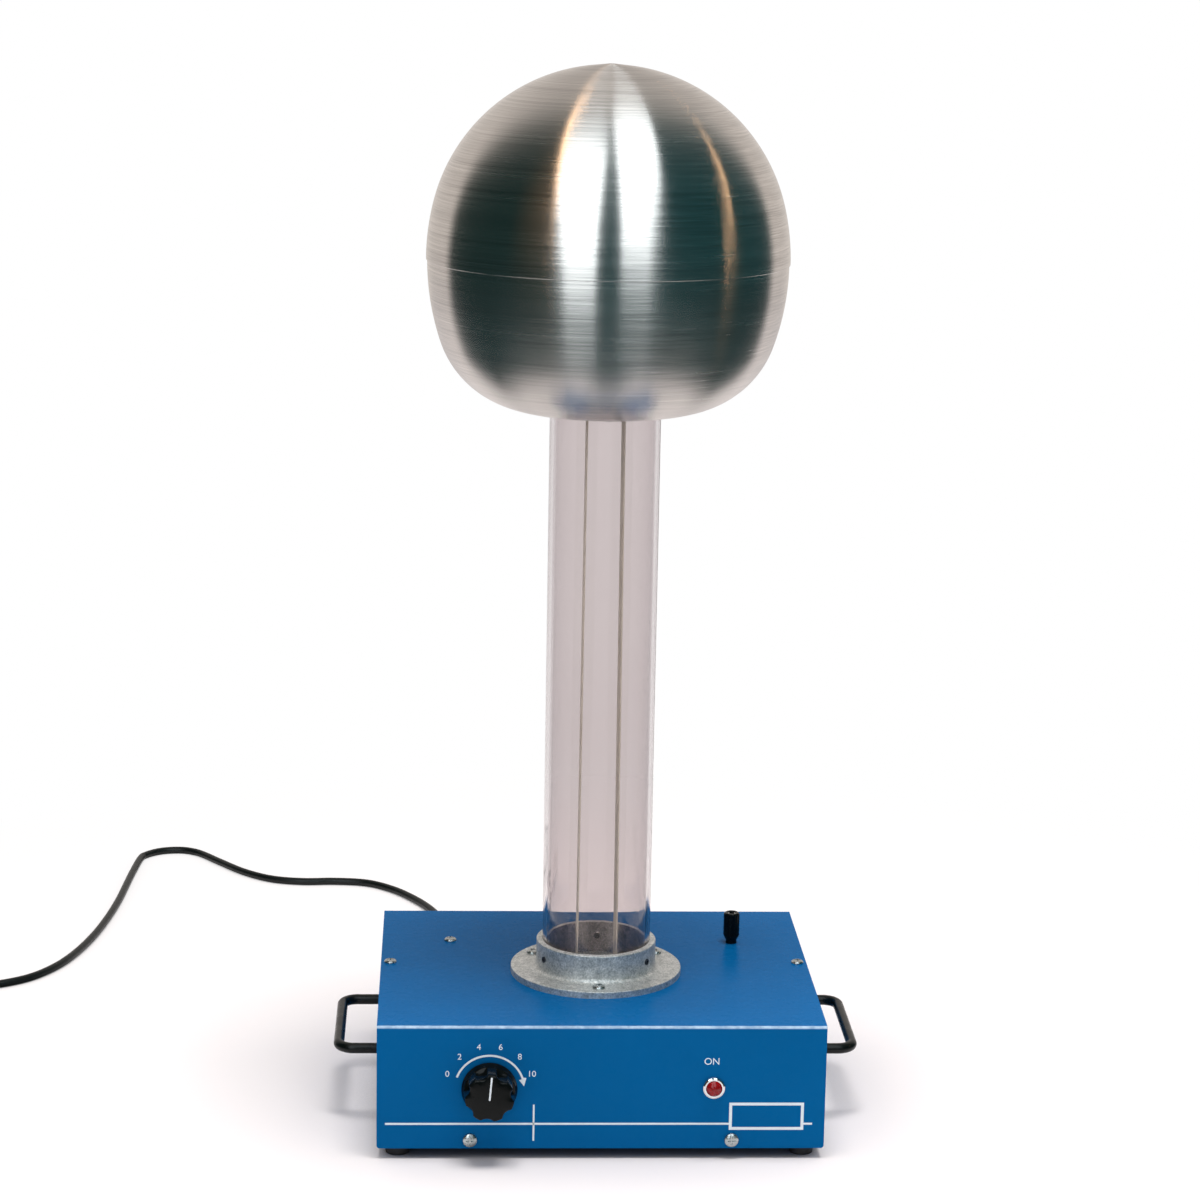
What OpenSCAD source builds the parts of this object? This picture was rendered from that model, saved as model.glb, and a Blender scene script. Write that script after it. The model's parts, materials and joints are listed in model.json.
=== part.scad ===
// Belt-driven electrostatic generator with a spun metal terminal, in millimetres.
// The table is z = 0 and the front panel faces -Y. The origin is under the middle of the box.

/* [Base box] */
// Width of the box across the front panel
base_w = 304.8; // [290:0.1:340]
// Depth of the box from front to back
base_d = 254; // [244:1:300]
// Height of the box above its feet
base_h = 87.4; // [84:0.1:110]
// Thickness of the sheet steel
sheet_t = 1.5; // [1:0.1:2]
// Outer radius of the folds in the sheet
fold_r = 2.4; // [2.2:0.1:4]
// Radius of the lower corners of the front and rear faces
corner_r = 2.2; // [0.5:0.1:4]
// Height of the rubber feet
foot_h = 7.5; // [4:0.5:12]
// Diameter of the rubber feet
foot_d = 18; // [16:1:24]
// Distance of each foot's centre from the box's sides
foot_inset = 14; // [13:1:30]
// Diameter of the box screws
box_screw_d = 4.2; // [3:0.1:5]
// Distance of the front and rear cover screws from the box's sides
cover_screw_side = 63.3; // [40:0.1:90]
// Height of the front and rear cover screws above the box's bottom
cover_screw_z = 6; // [5:0.1:9]
// Diameter of the heads of the front and rear cover screws
cover_head_d = 9.8; // [8:0.1:10]
// Distance of the top screws from the box's sides
top_screw_inset = 6.7; // [6:0.1:10]

/* [Handles] */
// Diameter of the handle rod
handle_rod_d = 7.4; // [6.5:0.1:10]
// Distance between the two legs of a handle
handle_span = 101.6; // [80:0.1:120]
// Reach of a handle beyond the side of the box
handle_reach = 32; // [26:1:45]
// Radius of the handle's bends, at the middle of the rod
handle_bend_r = 11; // [8:0.5:14]

/* [Column] */
// Outside diameter of the column tube
tube_od = 76.2; // [70:0.1:84]
// Wall thickness of the column tube
tube_wall = 3.2; // [2:0.1:5]
// Length of the column tube
tube_len = 500; // [420:1:600]
// Distance of the column's axis in front of the box's middle
column_front = 11.5; // [8:0.5:14]
// Diameter of the cast flange
flange_d = 120.6; // [116:0.1:130]
// Thickness of the cast flange
flange_t = 4.8; // [4:0.1:8]
// Height of the collar above the box
collar_h = 24.6; // [20:0.1:32]
// Wall thickness of the collar
collar_wall = 4; // [3:0.1:5]
// Pitch circle radius of the flange screws
flange_screw_pcr = 50.8; // [50:0.1:52]

/* [Terminal] */
// Largest radius of the terminal, at its seam
terminal_r = 123.2; // [112:0.1:140]
// Wall thickness of the spun shells
shell_t = 1.2; // [0.8:0.1:2]
// Height of the seam above the top of the tube
seam_rise = 1.3; // [0:0.1:6]
// Radius of the upper shell's side
upper_side_r = 160; // [150:1:180]
// Sweep of the upper shell's side
upper_side_angle = 14.3; // [10:0.1:18]
// Radius of the small turned point at the crown
crown_point_r = 14; // [8:0.5:20]
// Radius of the lower shell's side
lower_side_r = 171.5; // [160:0.5:185]
// Sweep of the lower shell's side
lower_side_angle = 18.9; // [15:0.1:22]
// Radius of the lower shell's rounded bottom edge
lower_edge_r = 67.4; // [60:0.1:70]
// Height of the lip that locates the upper shell
lip_h = 10; // [6:0.5:14]
// How far the upper shell's rim stands proud of the lower shell
rim_step = 0.8; // [0.6:0.1:1]

/* [Belt and rollers] */
// Diameter of the driven roller at its middle
drive_roller_d = 26.2; // [22:0.1:30]
// Diameter of the upper roller at its middle
idler_roller_d = 23.2; // [22:0.1:30]
// Length of both rollers
roller_len = 38; // [36:1:42]
// How much the rollers taper from their middle to each end
roller_crown = 0.3; // [0.1:0.1:0.6]
// Width of the belt
belt_w = 32; // [24:1:34]
// Thickness of the belt
belt_t = 0.8; // [0.6:0.1:1.2]
// Diameter of the fixed upper axle
axle_d = 6.35; // [5:0.05:7]
// Depth of the axle's centre below the top of the tube
axle_drop = 7; // [6:0.5:10]

/* [Motor] */
// Diameter of the motor can
motor_d = 60; // [54:1:62]
// Length of the motor can
motor_len = 62; // [56:1:70]
// Diameter of the motor shaft
motor_shaft_d = 8; // [6:0.5:9]
// Height of the shaft above the floor of the chassis
shaft_rise = 36.5; // [35:0.5:40]
// Thickness of the motor bracket
bracket_t = 3; // [2:0.5:4]

/* [Front panel] */
// Distance of the speed knob from the box's left side
knob_side = 76.2; // [66:0.1:90]
// Height of the speed knob above the box's bottom
knob_z = 43; // [40:0.1:46]
// Diameter of the knob's skirt
knob_skirt_d = 38; // [36:0.5:44]
// Diameter over the knob's lobes
knob_lobe_d = 34; // [32:0.1:35]
// Depth of the knob in front of the panel
knob_depth = 20; // [19:0.5:24]
// Number of lobes round the knob
knob_lobes = 7; // [5:1:9]
// Turn of the knob's pointer from upright, clockwise
knob_turn = 5; // [0:1:90]
// Distance of the pilot lamp from the box's right side
lamp_side = 76.2; // [60:0.1:90]
// Height of the pilot lamp above the box's bottom
lamp_z = 43.7; // [35:0.1:50]
// Diameter of the lamp's bezel
bezel_d = 15.8; // [15:0.1:20]

/* [Binding post] */
// Distance of the post from the box's right side
post_side = 50.4; // [42:0.1:70]
// Distance of the post from the back of the box
post_back = 75; // [60:1:90]
// Diameter of the fluted cap
post_cap_d = 11.6; // [11:0.1:14]
// Height of the fluted cap
post_cap_h = 20; // [18:0.5:24]
// Diameter of the plug socket in the post
socket_d = 4.1; // [3.8:0.1:4.3]

/* [Mains lead] */
// Diameter of the mains lead
cord_d = 6.2; // [5.6:0.1:6.4]
// Length of the strain relief behind the box
relief_len = 24; // [20:1:32]
// Height of the strain relief above the box's bottom
relief_z = 60.7; // [54:0.1:64]

/* [Hidden] */
$fn = 64;
touch = 0.05;             // gap between curved faces that seat on each other
run_gap = 0.05;           // radial clearance of a turning fit
belt_gap = 0.3;           // gap between the belt and the rollers
base_z = foot_h;
top_z = foot_h + base_h;
floor_z = base_z + sheet_t;
inner_y = base_d / 2 - sheet_t;
front_y = -base_d / 2;
rear_y = base_d / 2;
column_y = -column_front;

chassis_inset = 0.8;      // the cover's edge stands this far past the side plates
chassis_w = base_w - 2 * chassis_inset;
side_in_x = chassis_w / 2 - sheet_t;
fold_relief = 1.5;
chassis_d = base_d - 2 * (sheet_t + fold_relief);
chassis_h = base_h - sheet_t;
top_flange_w = 14;
upstand_h = 15;
top_screw_y = 6;
cover_screw_x = base_w / 2 - cover_screw_side;
screw_hole_r = box_screw_d / 2 + 0.3;
screw_bite_r = box_screw_d / 2 + touch;
screw_head_d = 2.1 * box_screw_d;
screw_head_h = 0.62 * box_screw_d;

tube_r = tube_od / 2;
tube_in_r = tube_r - tube_wall;
ledge_t = 3;
tube_z = top_z + ledge_t;
tube_top_z = tube_z + tube_len;
collar_r = tube_r + touch + collar_wall;
column_hole_r = tube_in_r + 1;
collar_screw_z = top_z + 0.6 * collar_h;
collar_screw_d = 4.2;
collar_screw_proud = 0.8;
flange_screw_angles = [-90, 30, 150];
collar_screw_angles = [-152, -35, 86];

drive_z = floor_z + shaft_rise;
idler_z = tube_top_z - axle_drop;
drive_r = drive_roller_d / 2;
idler_r = idler_roller_d / 2;
axle_r = axle_d / 2;
shaft_r = motor_shaft_d / 2;
pedestal_t = 8;
bearing_w = 5;
bearing_wall = 3.2;

seam_z = tube_top_z + seam_rise;
lower_r = terminal_r - rim_step;
lip_r = terminal_r - shell_t - 0.4;
side_cx = terminal_r - upper_side_r;
crown_r = upper_side_r + side_cx / cos(upper_side_angle);
crown_cz = (upper_side_r - crown_r) * sin(upper_side_angle);
point_angle = asin(crown_point_r / crown_r);
low_cx = lower_r - lower_side_r;
edge_cx = low_cx + (lower_side_r - lower_edge_r) * cos(lower_side_angle);
edge_cz = -(lower_side_r - lower_edge_r) * sin(lower_side_angle);
shell_floor_z = seam_z + edge_cz - lower_edge_r;
neck_gap = 0.3;
seat_z = shell_floor_z + shell_t + 0.02;
seat_ring_r = tube_r + 9.9;
seat_ring_h = 12;
seat_screw_pcr = tube_r + 5.4;
seat_screw_d = 3.5;

motor_front_y = column_y + roller_len / 2 + 8;
bracket_w = motor_d + 10;
foot_plate_t = 3;
pedestal_y = column_y - roller_len / 2 - pedestal_t / 2 - 1;
pedestal_h = shaft_rise + 12;
boss_r = 11;
boss_len = bracket_t + 3;
stator_r = motor_d / 2 - 2;
armature_r = stator_r - 10;
bush_r = shaft_r + 3;
field_slot_w = 18;
field_slot_d = stator_r - armature_r - 2.8;
field_coil_d = field_slot_d - 1.2;
brush_y = motor_front_y + 48;
brush_tube_r = 4.4;
commutator_r = shaft_r + 5;

bush_d = 9.5;             // threaded bush of the speed control
knob_x = base_w / 2 - knob_side;
lamp_x = base_w / 2 - lamp_side;
control_shaft_r = 3.175;
control_len = 26;
control_back_y = front_y + sheet_t + control_len;
nut_across = 15;
knob_gap = 0.8;
lens_r = bezel_d / 2 - 2.4;
barrel_r = bezel_d / 2 - 1.7;

post_x = base_w / 2 - post_side;
post_y = base_d / 2 - post_back;
post_collar_h = 3;
post_collar_r = 4;
post_stud_r = socket_d / 2 + 1.15;
post_stud_top = top_z + post_collar_h + post_cap_h - 0.5;
socket_len = 15;

cord_r = cord_d / 2;
relief_x = -95;
relief_zz = base_z + relief_z;
relief_hole_r = 6.4;
clip_screw_x = relief_x - 8;
clip_screw_y = rear_y - 72;
clip_loop_r = cord_r + 1.5;
clip_z = top_z - sheet_t - clip_loop_r;

// Route of the mains lead from the strain relief over the table, chosen by hand
lead_start = [relief_x, rear_y + relief_len, relief_zz];
route = [
    lead_start, [-95, 158, 68], [-95, 171, 68], [-95, 189, 65], [-95, 207, 56], [-95, 225, 37],
    [-95, 243, 17], [-96, 261, 8], [-97, 290, 3], [-99, 320, 3], [-103, 350, 3], [-110, 385, 3], [-120, 415, 3],
    [-133, 441, 3], [-151, 467, 3], [-174, 486, 3], [-202, 491, 3], [-230, 490, 3], [-257, 497, 3],
    [-282, 517, 3], [-305, 546, 3], [-322, 569, 3], [-332, 578, 3], [-342, 582, 3], [-354, 581, 3],
    [-364, 576, 3], [-372, 567, 3], [-376, 556, 3], [-379, 515, 3], [-381, 475, 3], [-383, 435, 3],
    [-387, 390, 3], [-393, 345, 3], [-402, 302, 3], [-414, 266, 3], [-432, 237, 3], [-456, 220, 3],
    [-481, 213, 3], [-502, 213, 3], [-522, 213, 3]
];
cord_sides = 8;

// The stored rest of the lead: a coil of two layers that spirals in and then out again
coil_gap = 0.6;
coil_step = cord_d + coil_gap;
coil_turns = 3.25;
coil_inner_r = 31;
coil_rings = 24;
coil_sides = 6;
coil_half = coil_turns / 2;
coil_outer_r = coil_inner_r + coil_half * coil_step;
coil_start = route[len(route) - 1];
coil_c = [coil_start[0] - cord_d, coil_start[1] - coil_outer_r];
top_layer_z = cord_r + coil_step;

plug_w = 27;
plug_len = 34;
plug_tail = 20;
plug_lead = 20;           // straight lead between the coil and the plug
plug_face_y = coil_c[1] - plug_lead - plug_tail - plug_len;
plug_x = coil_c[0] - coil_outer_r;

// ---------- shared shapes ----------

function arc_points(cx, cz, r, a0, a1, n, first = 0) =
    [for (i = [first:n]) [cx + r * cos(a0 + (a1 - a0) * i / n), cz + r * sin(a0 + (a1 - a0) * i / n)]];

// A rectangle on y = 0 with its two upper corners rounded
module arch(w, h, r) {
    translate([-w / 2, 0]) square([w, h - r]);
    translate([-w / 2 + r, 0]) square([w - 2 * r, h]);
    for (s = [-1, 1]) translate([s * (w / 2 - r), h - r]) circle(r);
}

// A bent sheet, open at the bottom, seen along its folds
module bent_sheet(w, h) {
    difference() {
        arch(w, h, fold_r);
        translate([0, -1]) arch(w - 2 * sheet_t, h - sheet_t + 1, fold_r - sheet_t);
    }
}

// A pan head screw: the head stands on z = 0 and the shank goes down
module pan_screw(d, len, head_d, head_h) {
    difference() {
        union() {
            rotate_extrude() polygon(concat([[0, 0], [head_d / 2, 0]],
                [for (a = [0:18:72]) [head_d / 2 * cos(a), head_h * (0.3 + 0.7 * sin(a))]],
                [[0, head_h]]));
            translate([0, 0, -len]) cylinder(r = d / 2, h = len + 0.1);
        }
        for (a = [0, 90]) rotate([0, 0, a])
            translate([-0.28 * head_d, -0.06 * head_d, 0.45 * head_h]) cube([0.56 * head_d, 0.12 * head_d, head_h]);
    }
}

module box_screw(len = 8) {
    pan_screw(box_screw_d, len, screw_head_d, screw_head_h);
}

// A headless screw with a square-cut socket, its outer end at z = 0
module set_screw(d, len) {
    difference() {
        translate([0, 0, -len]) cylinder(r = d / 2, h = len);
        translate([0, 0, -0.4 * len]) cylinder(r = d / 4, h = len, $fn = 6);
    }
}

module hex_nut(across, h, bore_r) {
    difference() {
        cylinder(r = across / 2 / cos(30), h = h, $fn = 6);
        translate([0, 0, -1]) cylinder(r = bore_r, h = h + 2);
    }
}

module ring(r_out, r_in, h) {
    difference() {
        cylinder(r = r_out, h = h);
        translate([0, 0, -1]) cylinder(r = r_in, h = h + 2);
    }
}

// Turns +Z of a child to -Y, towards the viewer, with its +Y up
module face_front() { rotate([90, 0, 0]) children(); }
// Turns +Z of a child to +Y, away from the viewer
module face_rear() { rotate([-90, 0, 0]) children(); }
module at_knob() { translate([-knob_x, front_y, base_z + knob_z]) face_front() children(); }
module at_lamp() { translate([lamp_x, front_y, base_z + lamp_z]) face_front() children(); }
module at_column(z) { translate([0, column_y, z]) children(); }
module at_post(z) { translate([post_x, post_y, z]) children(); }
module at_feet() {
    for (x = [-1, 1], y = [-1, 1])
        translate([x * (base_w / 2 - foot_inset), y * (base_d / 2 - foot_inset), 0]) children();
}
module at_cover_screws() {
    for (x = [-1, 1]) {
        translate([x * cover_screw_x, front_y, base_z + cover_screw_z]) face_front() children();
        translate([x * cover_screw_x, rear_y, base_z + cover_screw_z]) face_rear() children();
    }
}
module at_top_screws() {
    for (x = [-1, 1]) translate([x * (base_w / 2 - top_screw_inset), top_screw_y, top_z]) children();
}
module at_flange_screws(z) {
    for (a = flange_screw_angles)
        at_column(z) rotate([0, 0, a]) translate([flange_screw_pcr, 0, 0]) children();
}

// ---------- sweeping a round cord ----------

function spline(p, i, t) =
    let (a = i > 0 ? p[i - 1] : 2 * p[0] - p[1],
         b = p[i],
         c = p[i + 1],
         d = i + 2 < len(p) ? p[i + 2] : 2 * p[len(p) - 1] - p[len(p) - 2])
    0.5 * (2 * b + (c - a) * t + (2 * a - 5 * b + 4 * c - d) * t * t + (3 * b - a - 3 * c + d) * t * t * t);
function smooth_path(p, steps) = concat(
    [for (i = [0:len(p) - 2], k = [0:steps - 1]) spline(p, i, k / steps)], [p[len(p) - 1]]);
function on_table(p) = [for (q = p) [q[0], q[1], max(q[2], cord_r)]];
function unit(v) = v / norm(v);
function tangent(p, i) = unit(p[min(i + 1, len(p) - 1)] - p[max(i - 1, 0)]);
function path_len(p, i = 0, sum = 0) =
    i >= len(p) - 1 ? sum : path_len(p, i + 1, sum + norm(p[i + 1] - p[i]));

// The tube round a path: a ring of points at each path point, and triangles between the rings
module round_sweep(p, r, sides) {
    n = len(p);
    points = [for (i = [0:n - 1])
        let (t = tangent(p, i), s = unit(cross([0, 0, 1], t)), u = cross(t, s))
        for (k = [0:sides - 1]) p[i] + r * (sin(360 * k / sides) * s - cos(360 * k / sides) * u)];
    walls = [for (i = [0:n - 2], k = [0:sides - 1], f = [0, 1])
        let (a = i * sides + k, b = i * sides + (k + 1) % sides)
        f == 0 ? [a, a + sides, b] : [b, a + sides, b + sides]];
    start = [for (k = [1:sides - 2]) [0, k, k + 1]];
    end = [for (k = [1:sides - 2]) [(n - 1) * sides, (n - 1) * sides + k + 1, (n - 1) * sides + k]];
    polyhedron(points = points, faces = concat(start, walls, end));
}

lead_path = on_table(smooth_path(route, 2));
inner_path = smooth_path([
    [relief_x, inner_y - 4, relief_zz], [relief_x, inner_y - 9, relief_zz],
    [relief_x, inner_y - 16, relief_zz],
    [relief_x, clip_screw_y + 34, clip_z - 8], [relief_x, clip_screw_y + 20, clip_z],
    [relief_x, clip_screw_y + 7, clip_z], [relief_x, clip_screw_y - 7, clip_z],
    [relief_x, clip_screw_y - 20, clip_z], [relief_x + 1, 10, clip_z - 5],
    [relief_x + 2, -35, base_z + knob_z + 16], [relief_x + 4, -65, base_z + knob_z],
    [relief_x + 4, control_back_y + 18, base_z + knob_z - 3],
    [relief_x + 4, control_back_y + 9, base_z + knob_z - 3],
    [relief_x + 4, control_back_y, base_z + knob_z - 3]], 2);

// Turn s counts from the middle of the coil, where the spiral reverses and climbs one layer
function coil_point(s) =
    let (r = coil_inner_r + coil_step * abs(s), a = 90 + 360 * (s + coil_half),
         lift = max(0, min(1, 2 * s + 0.5)))
    [coil_c[0] + r * cos(a), coil_c[1] + r * sin(a), cord_r + coil_step * lift];
coil_steps = coil_turns * coil_rings;
coil_loops = [for (i = [0:coil_steps]) coil_point(-coil_half + i / coil_rings)];
coil_path = concat([coil_start + [0, 0, cord_r - coil_start[2]]], coil_loops,
    [for (d = [plug_lead / 2, plug_lead]) coil_loops[len(coil_loops) - 1] - [0, d, 0]]);
coil_least = min([for (i = [0:len(coil_loops) - 1], j = [i + coil_rings / 2:1:len(coil_loops) - 1])
    norm(coil_loops[i] - coil_loops[j])]) - cord_d;
union() {  // cord_coil
    echo(coil_least_gap = coil_least, coil_length = path_len(coil_path), lead_length = path_len(lead_path));
}

// ---------- base box ----------

module base_cover() {
    color("#15599a") difference() {
        translate([-base_w / 2, 0, base_z]) rotate([90, 0, 90])
            linear_extrude(base_w) bent_sheet(base_d, base_h);
        at_column(top_z - 2 * sheet_t) cylinder(r = column_hole_r, h = 3 * sheet_t);
        at_cover_screws() translate([0, 0, -2 * sheet_t]) cylinder(r = screw_hole_r, h = 3 * sheet_t);
        at_top_screws() translate([0, 0, -2 * sheet_t]) cylinder(r = screw_hole_r, h = 3 * sheet_t);
        at_flange_screws(top_z - 2 * sheet_t) cylinder(r = screw_hole_r, h = 3 * sheet_t);
        translate([clip_screw_x, clip_screw_y, top_z - 2 * sheet_t]) cylinder(r = screw_hole_r, h = 3 * sheet_t);
        at_post(top_z - 2 * sheet_t) cylinder(r = post_collar_r + touch, h = 3 * sheet_t);
        at_knob() translate([0, 0, -2 * sheet_t]) cylinder(r = bush_d / 2 + touch, h = 3 * sheet_t);
        at_lamp() translate([0, 0, -2 * sheet_t]) cylinder(r = barrel_r + touch, h = 3 * sheet_t);
        translate([relief_x, rear_y - 2 * sheet_t, relief_zz]) face_rear()
            cylinder(r = relief_hole_r, h = 3 * sheet_t);
        for (s = [0, 1]) mirror([s, 0, 0]) translate([base_w / 2 - corner_r, rear_y + 1, base_z + corner_r])
            face_front() linear_extrude(base_d + 2) difference() {
                translate([0, -corner_r - 1]) square(corner_r + 1);
                circle(corner_r);
            }
    }
}

module base_chassis() {
    color("#134f8c") difference() {
        union() {
            translate([0, chassis_d / 2, base_z + chassis_h]) rotate([-90, 0, 0]) mirror([0, 0, 1])
                linear_extrude(chassis_d) bent_sheet(chassis_w, chassis_h);
            for (s = [-1, 1])
                translate([s * (chassis_w - top_flange_w) / 2, 0, base_z + chassis_h - sheet_t / 2])
                    cube([top_flange_w, chassis_d, sheet_t], center = true);
            translate([-side_in_x + fold_r, -inner_y, base_z])
                cube([2 * (side_in_x - fold_r), 2 * inner_y, sheet_t]);
            for (s = [-1, 1])
                translate([-side_in_x + fold_r, s * (inner_y - sheet_t / 2) - sheet_t / 2, base_z])
                    cube([2 * (side_in_x - fold_r), sheet_t, upstand_h]);
        }
        at_cover_screws() translate([0, 0, -3 * sheet_t]) cylinder(r = screw_bite_r, h = 3 * sheet_t);
        at_top_screws() translate([0, 0, -3 * sheet_t]) cylinder(r = screw_bite_r, h = 3 * sheet_t);
        at_feet() translate([0, 0, base_z - 1]) cylinder(r = screw_bite_r, h = sheet_t + 2);
        at_handles() translate([0, 0, -1]) cylinder(r = screw_hole_r, h = sheet_t + 2);
        at_floor_screws(floor_z - sheet_t - 1) cylinder(r = screw_bite_r, h = sheet_t + 2);
    }
}

// The four handle legs, from the inside face of the side plates outwards
module at_handles(sides = [-1, 1]) {
    for (s = sides, e = [-1, 1])
        translate([s * side_in_x, e * handle_span / 2, base_z + base_h / 2]) rotate([0, s * 90, 0]) children();
}

module rubber_feet() {
    color("#15161a") at_feet() difference() {
        cylinder(r1 = foot_d / 2 - 1, r2 = foot_d / 2, h = foot_h);
        translate([0, 0, -1]) cylinder(r = screw_head_d / 2 + 0.5, h = foot_h - 1);
        translate([0, 0, -1]) cylinder(r = screw_hole_r, h = foot_h + 2);
    }
}

module foot_screws() {
    color("silver") at_feet() translate([0, 0, foot_h - 2]) rotate([180, 0, 0])
        pan_screw(box_screw_d, 9, screw_head_d, min(screw_head_h, foot_h - 2.2));
}

module d_handle(side) {
    reach = base_w / 2 + handle_reach - handle_rod_d / 2;
    leg_x = chassis_w / 2;
    bend_x = reach - handle_bend_r;
    y = handle_span / 2;
    z = base_z + base_h / 2;
    r = handle_rod_d / 2;
    mirror([side < 0 ? 1 : 0, 0, 0]) difference() {
        union() {
            for (e = [-1, 1]) translate([leg_x, e * y, z]) rotate([0, 90, 0]) cylinder(r = r, h = bend_x - leg_x);
            translate([bend_x, y - handle_bend_r, z]) rotate_extrude(angle = 90)
                translate([handle_bend_r, 0]) circle(r);
            translate([bend_x, -y + handle_bend_r, z]) rotate([0, 0, -90]) rotate_extrude(angle = 90)
                translate([handle_bend_r, 0]) circle(r);
            translate([reach, -y + handle_bend_r, z]) rotate([-90, 0, 0]) cylinder(r = r, h = 2 * (y - handle_bend_r));
        }
        for (e = [-1, 1]) translate([leg_x - 1, e * y, z]) rotate([0, 90, 0]) cylinder(r = screw_bite_r, h = 11);
    }
}

module left_handle() { color("#101114") d_handle(-1); }
module right_handle() { color("#101114") d_handle(1); }

module handle_screws() {
    color("silver") at_handles() rotate([180, 0, 0]) box_screw(sheet_t + 9);
}

module cover_screws() { color("silver") at_cover_screws() pan_screw(box_screw_d, 8, cover_head_d, screw_head_h); }

module top_screws() {
    color("silver") {
        at_top_screws() box_screw(8);
        translate([clip_screw_x, clip_screw_y, top_z]) box_screw(8);
    }
}

// ---------- column ----------

module tube_flange() {
    fillet = 4;
    edge_r = 0.5;
    color("#a9abad") at_column(top_z) difference() {
        rotate_extrude() difference() {
            union() {
                translate([column_hole_r, 0]) square([flange_d / 2 - column_hole_r - edge_r, flange_t]);
                translate([column_hole_r, 0]) square([flange_d / 2 - column_hole_r, flange_t - edge_r]);
                translate([flange_d / 2 - edge_r, flange_t - edge_r]) circle(edge_r);
                translate([column_hole_r, 0]) square([collar_r - column_hole_r, collar_h - 0.8]);
                translate([column_hole_r, 0]) square([collar_r - column_hole_r - 0.8, collar_h]);
                translate([collar_r - 0.8, collar_h - 0.8]) circle(0.8);
                translate([collar_r - 0.1, flange_t - 0.1]) square([fillet + 0.1, fillet + 0.1]);
            }
            translate([collar_r + fillet, flange_t + fillet]) circle(fillet);
            translate([0, ledge_t]) square([tube_r + touch, collar_h]);
        }
        for (a = flange_screw_angles)
            rotate([0, 0, a]) translate([flange_screw_pcr, 0, -1]) cylinder(r = screw_hole_r, h = flange_t + 2);
        for (a = collar_screw_angles)
            rotate([0, 0, a]) translate([tube_r - 1, 0, collar_screw_z - top_z]) rotate([0, 90, 0])
                cylinder(r = collar_screw_d / 2 + touch, h = collar_wall + 4);
    }
}

module flange_screws() { color("silver") at_flange_screws(top_z + flange_t) box_screw(flange_t + sheet_t + 6); }

module flange_nuts() {
    color("silver") at_flange_screws(top_z - sheet_t - 3.2) hex_nut(9.5, 3.2, screw_bite_r);
}

module collar_screws() {
    color("#8d8f92") for (a = collar_screw_angles)
        at_column(collar_screw_z) rotate([0, 0, a]) translate([collar_r + collar_screw_proud, 0, 0]) rotate([0, 90, 0])
            set_screw(collar_screw_d, collar_screw_proud + collar_wall + tube_wall);
}

module column_tube() {
    slot_r = axle_r + touch;
    color([0.93, 0.9, 0.94, 0.35]) at_column(tube_z) difference() {
        cylinder(r = tube_r, h = tube_len, $fn = 96);
        translate([0, 0, -1]) cylinder(r = tube_in_r, h = tube_len + 2, $fn = 96);
        translate([0, -tube_r - 1, tube_len - axle_drop]) face_rear() cylinder(r = slot_r, h = tube_od + 2);
        translate([-slot_r, -tube_r - 1, tube_len - axle_drop]) cube([2 * slot_r, tube_od + 2, axle_drop + 1]);
        for (a = collar_screw_angles)
            rotate([0, 0, a]) translate([tube_in_r - 2, 0, collar_screw_z - tube_z]) rotate([0, 90, 0])
                cylinder(r = collar_screw_d / 2 + touch, h = tube_wall + 4);
        translate([-tube_r - 1, 0, comb_z - tube_z]) rotate([0, 90, 0]) cylinder(r = comb_screw_r + touch, h = tube_wall + 3);
    }
}

// Outline of the belt loop round both rollers, grown by a distance
module belt_outline(grow) {
    a = drive_r + grow;
    b = idler_r + grow;
    lean = asin((a - b) / (idler_z - drive_z));
    circle(a);
    translate([0, idler_z - drive_z]) circle(b);
    polygon([[-a * cos(lean), a * sin(lean)], [a * cos(lean), a * sin(lean)],
        [b * cos(lean), idler_z - drive_z + b * sin(lean)], [-b * cos(lean), idler_z - drive_z + b * sin(lean)]]);
}

module charge_belt() {
    color("#d9d2c0") translate([0, column_y + belt_w / 2, drive_z]) face_front() linear_extrude(belt_w) difference() {
        belt_outline(belt_gap + belt_t);
        belt_outline(belt_gap);
    }
}

// A crowned roller along +Z, centred on the origin
module crowned_roller(r, len) {
    rotate_extrude() polygon([[0, -len / 2], [r - roller_crown, -len / 2], [r, -len / 8], [r, len / 8],
        [r - roller_crown, len / 2], [0, len / 2]]);
}

module drive_roller() {
    color("#e9e6dc") translate([0, column_y, drive_z]) face_rear() difference() {
        crowned_roller(drive_r, roller_len);
        translate([0, 0, -roller_len]) cylinder(r = shaft_r + touch, h = 2 * roller_len);
    }
}

module idler_roller() {
    color("#e9e6dc") translate([0, column_y, idler_z]) face_rear() difference() {
        crowned_roller(idler_r, roller_len);
        translate([0, 0, -roller_len]) cylinder(r = axle_r + 1, h = 2 * roller_len);
        for (s = [-1, 1]) translate([0, 0, s * (roller_len / 2 - bearing_w / 2)])
            translate([0, 0, -bearing_w / 2 - (s < 0 ? 1 : 0)])
                cylinder(r = axle_r + run_gap + bearing_wall + touch, h = bearing_w + 1);
    }
}

module idler_bearings() {
    color("silver") for (s = [-1, 1])
        translate([0, column_y + s * (roller_len - bearing_w) / 2 - bearing_w / 2, idler_z]) face_rear()
            ring(axle_r + run_gap + bearing_wall, axle_r + run_gap, bearing_w);
}

module upper_axle() {
    color("silver") translate([0, column_y - tube_r - 3, idler_z]) face_rear() cylinder(r = axle_r, h = tube_od + 6);
}

module axle_spacers() {
    gap = tube_in_r - roller_len / 2 - 1.4;
    color("#f0f0ee") for (s = [-1, 1])
        translate([0, column_y + s * (roller_len / 2 + 0.4 + gap / 2) - gap / 2, idler_z]) face_rear()
            ring(axle_r + 1.6, axle_r + touch, gap);
}

// ---------- combs ----------

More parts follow.
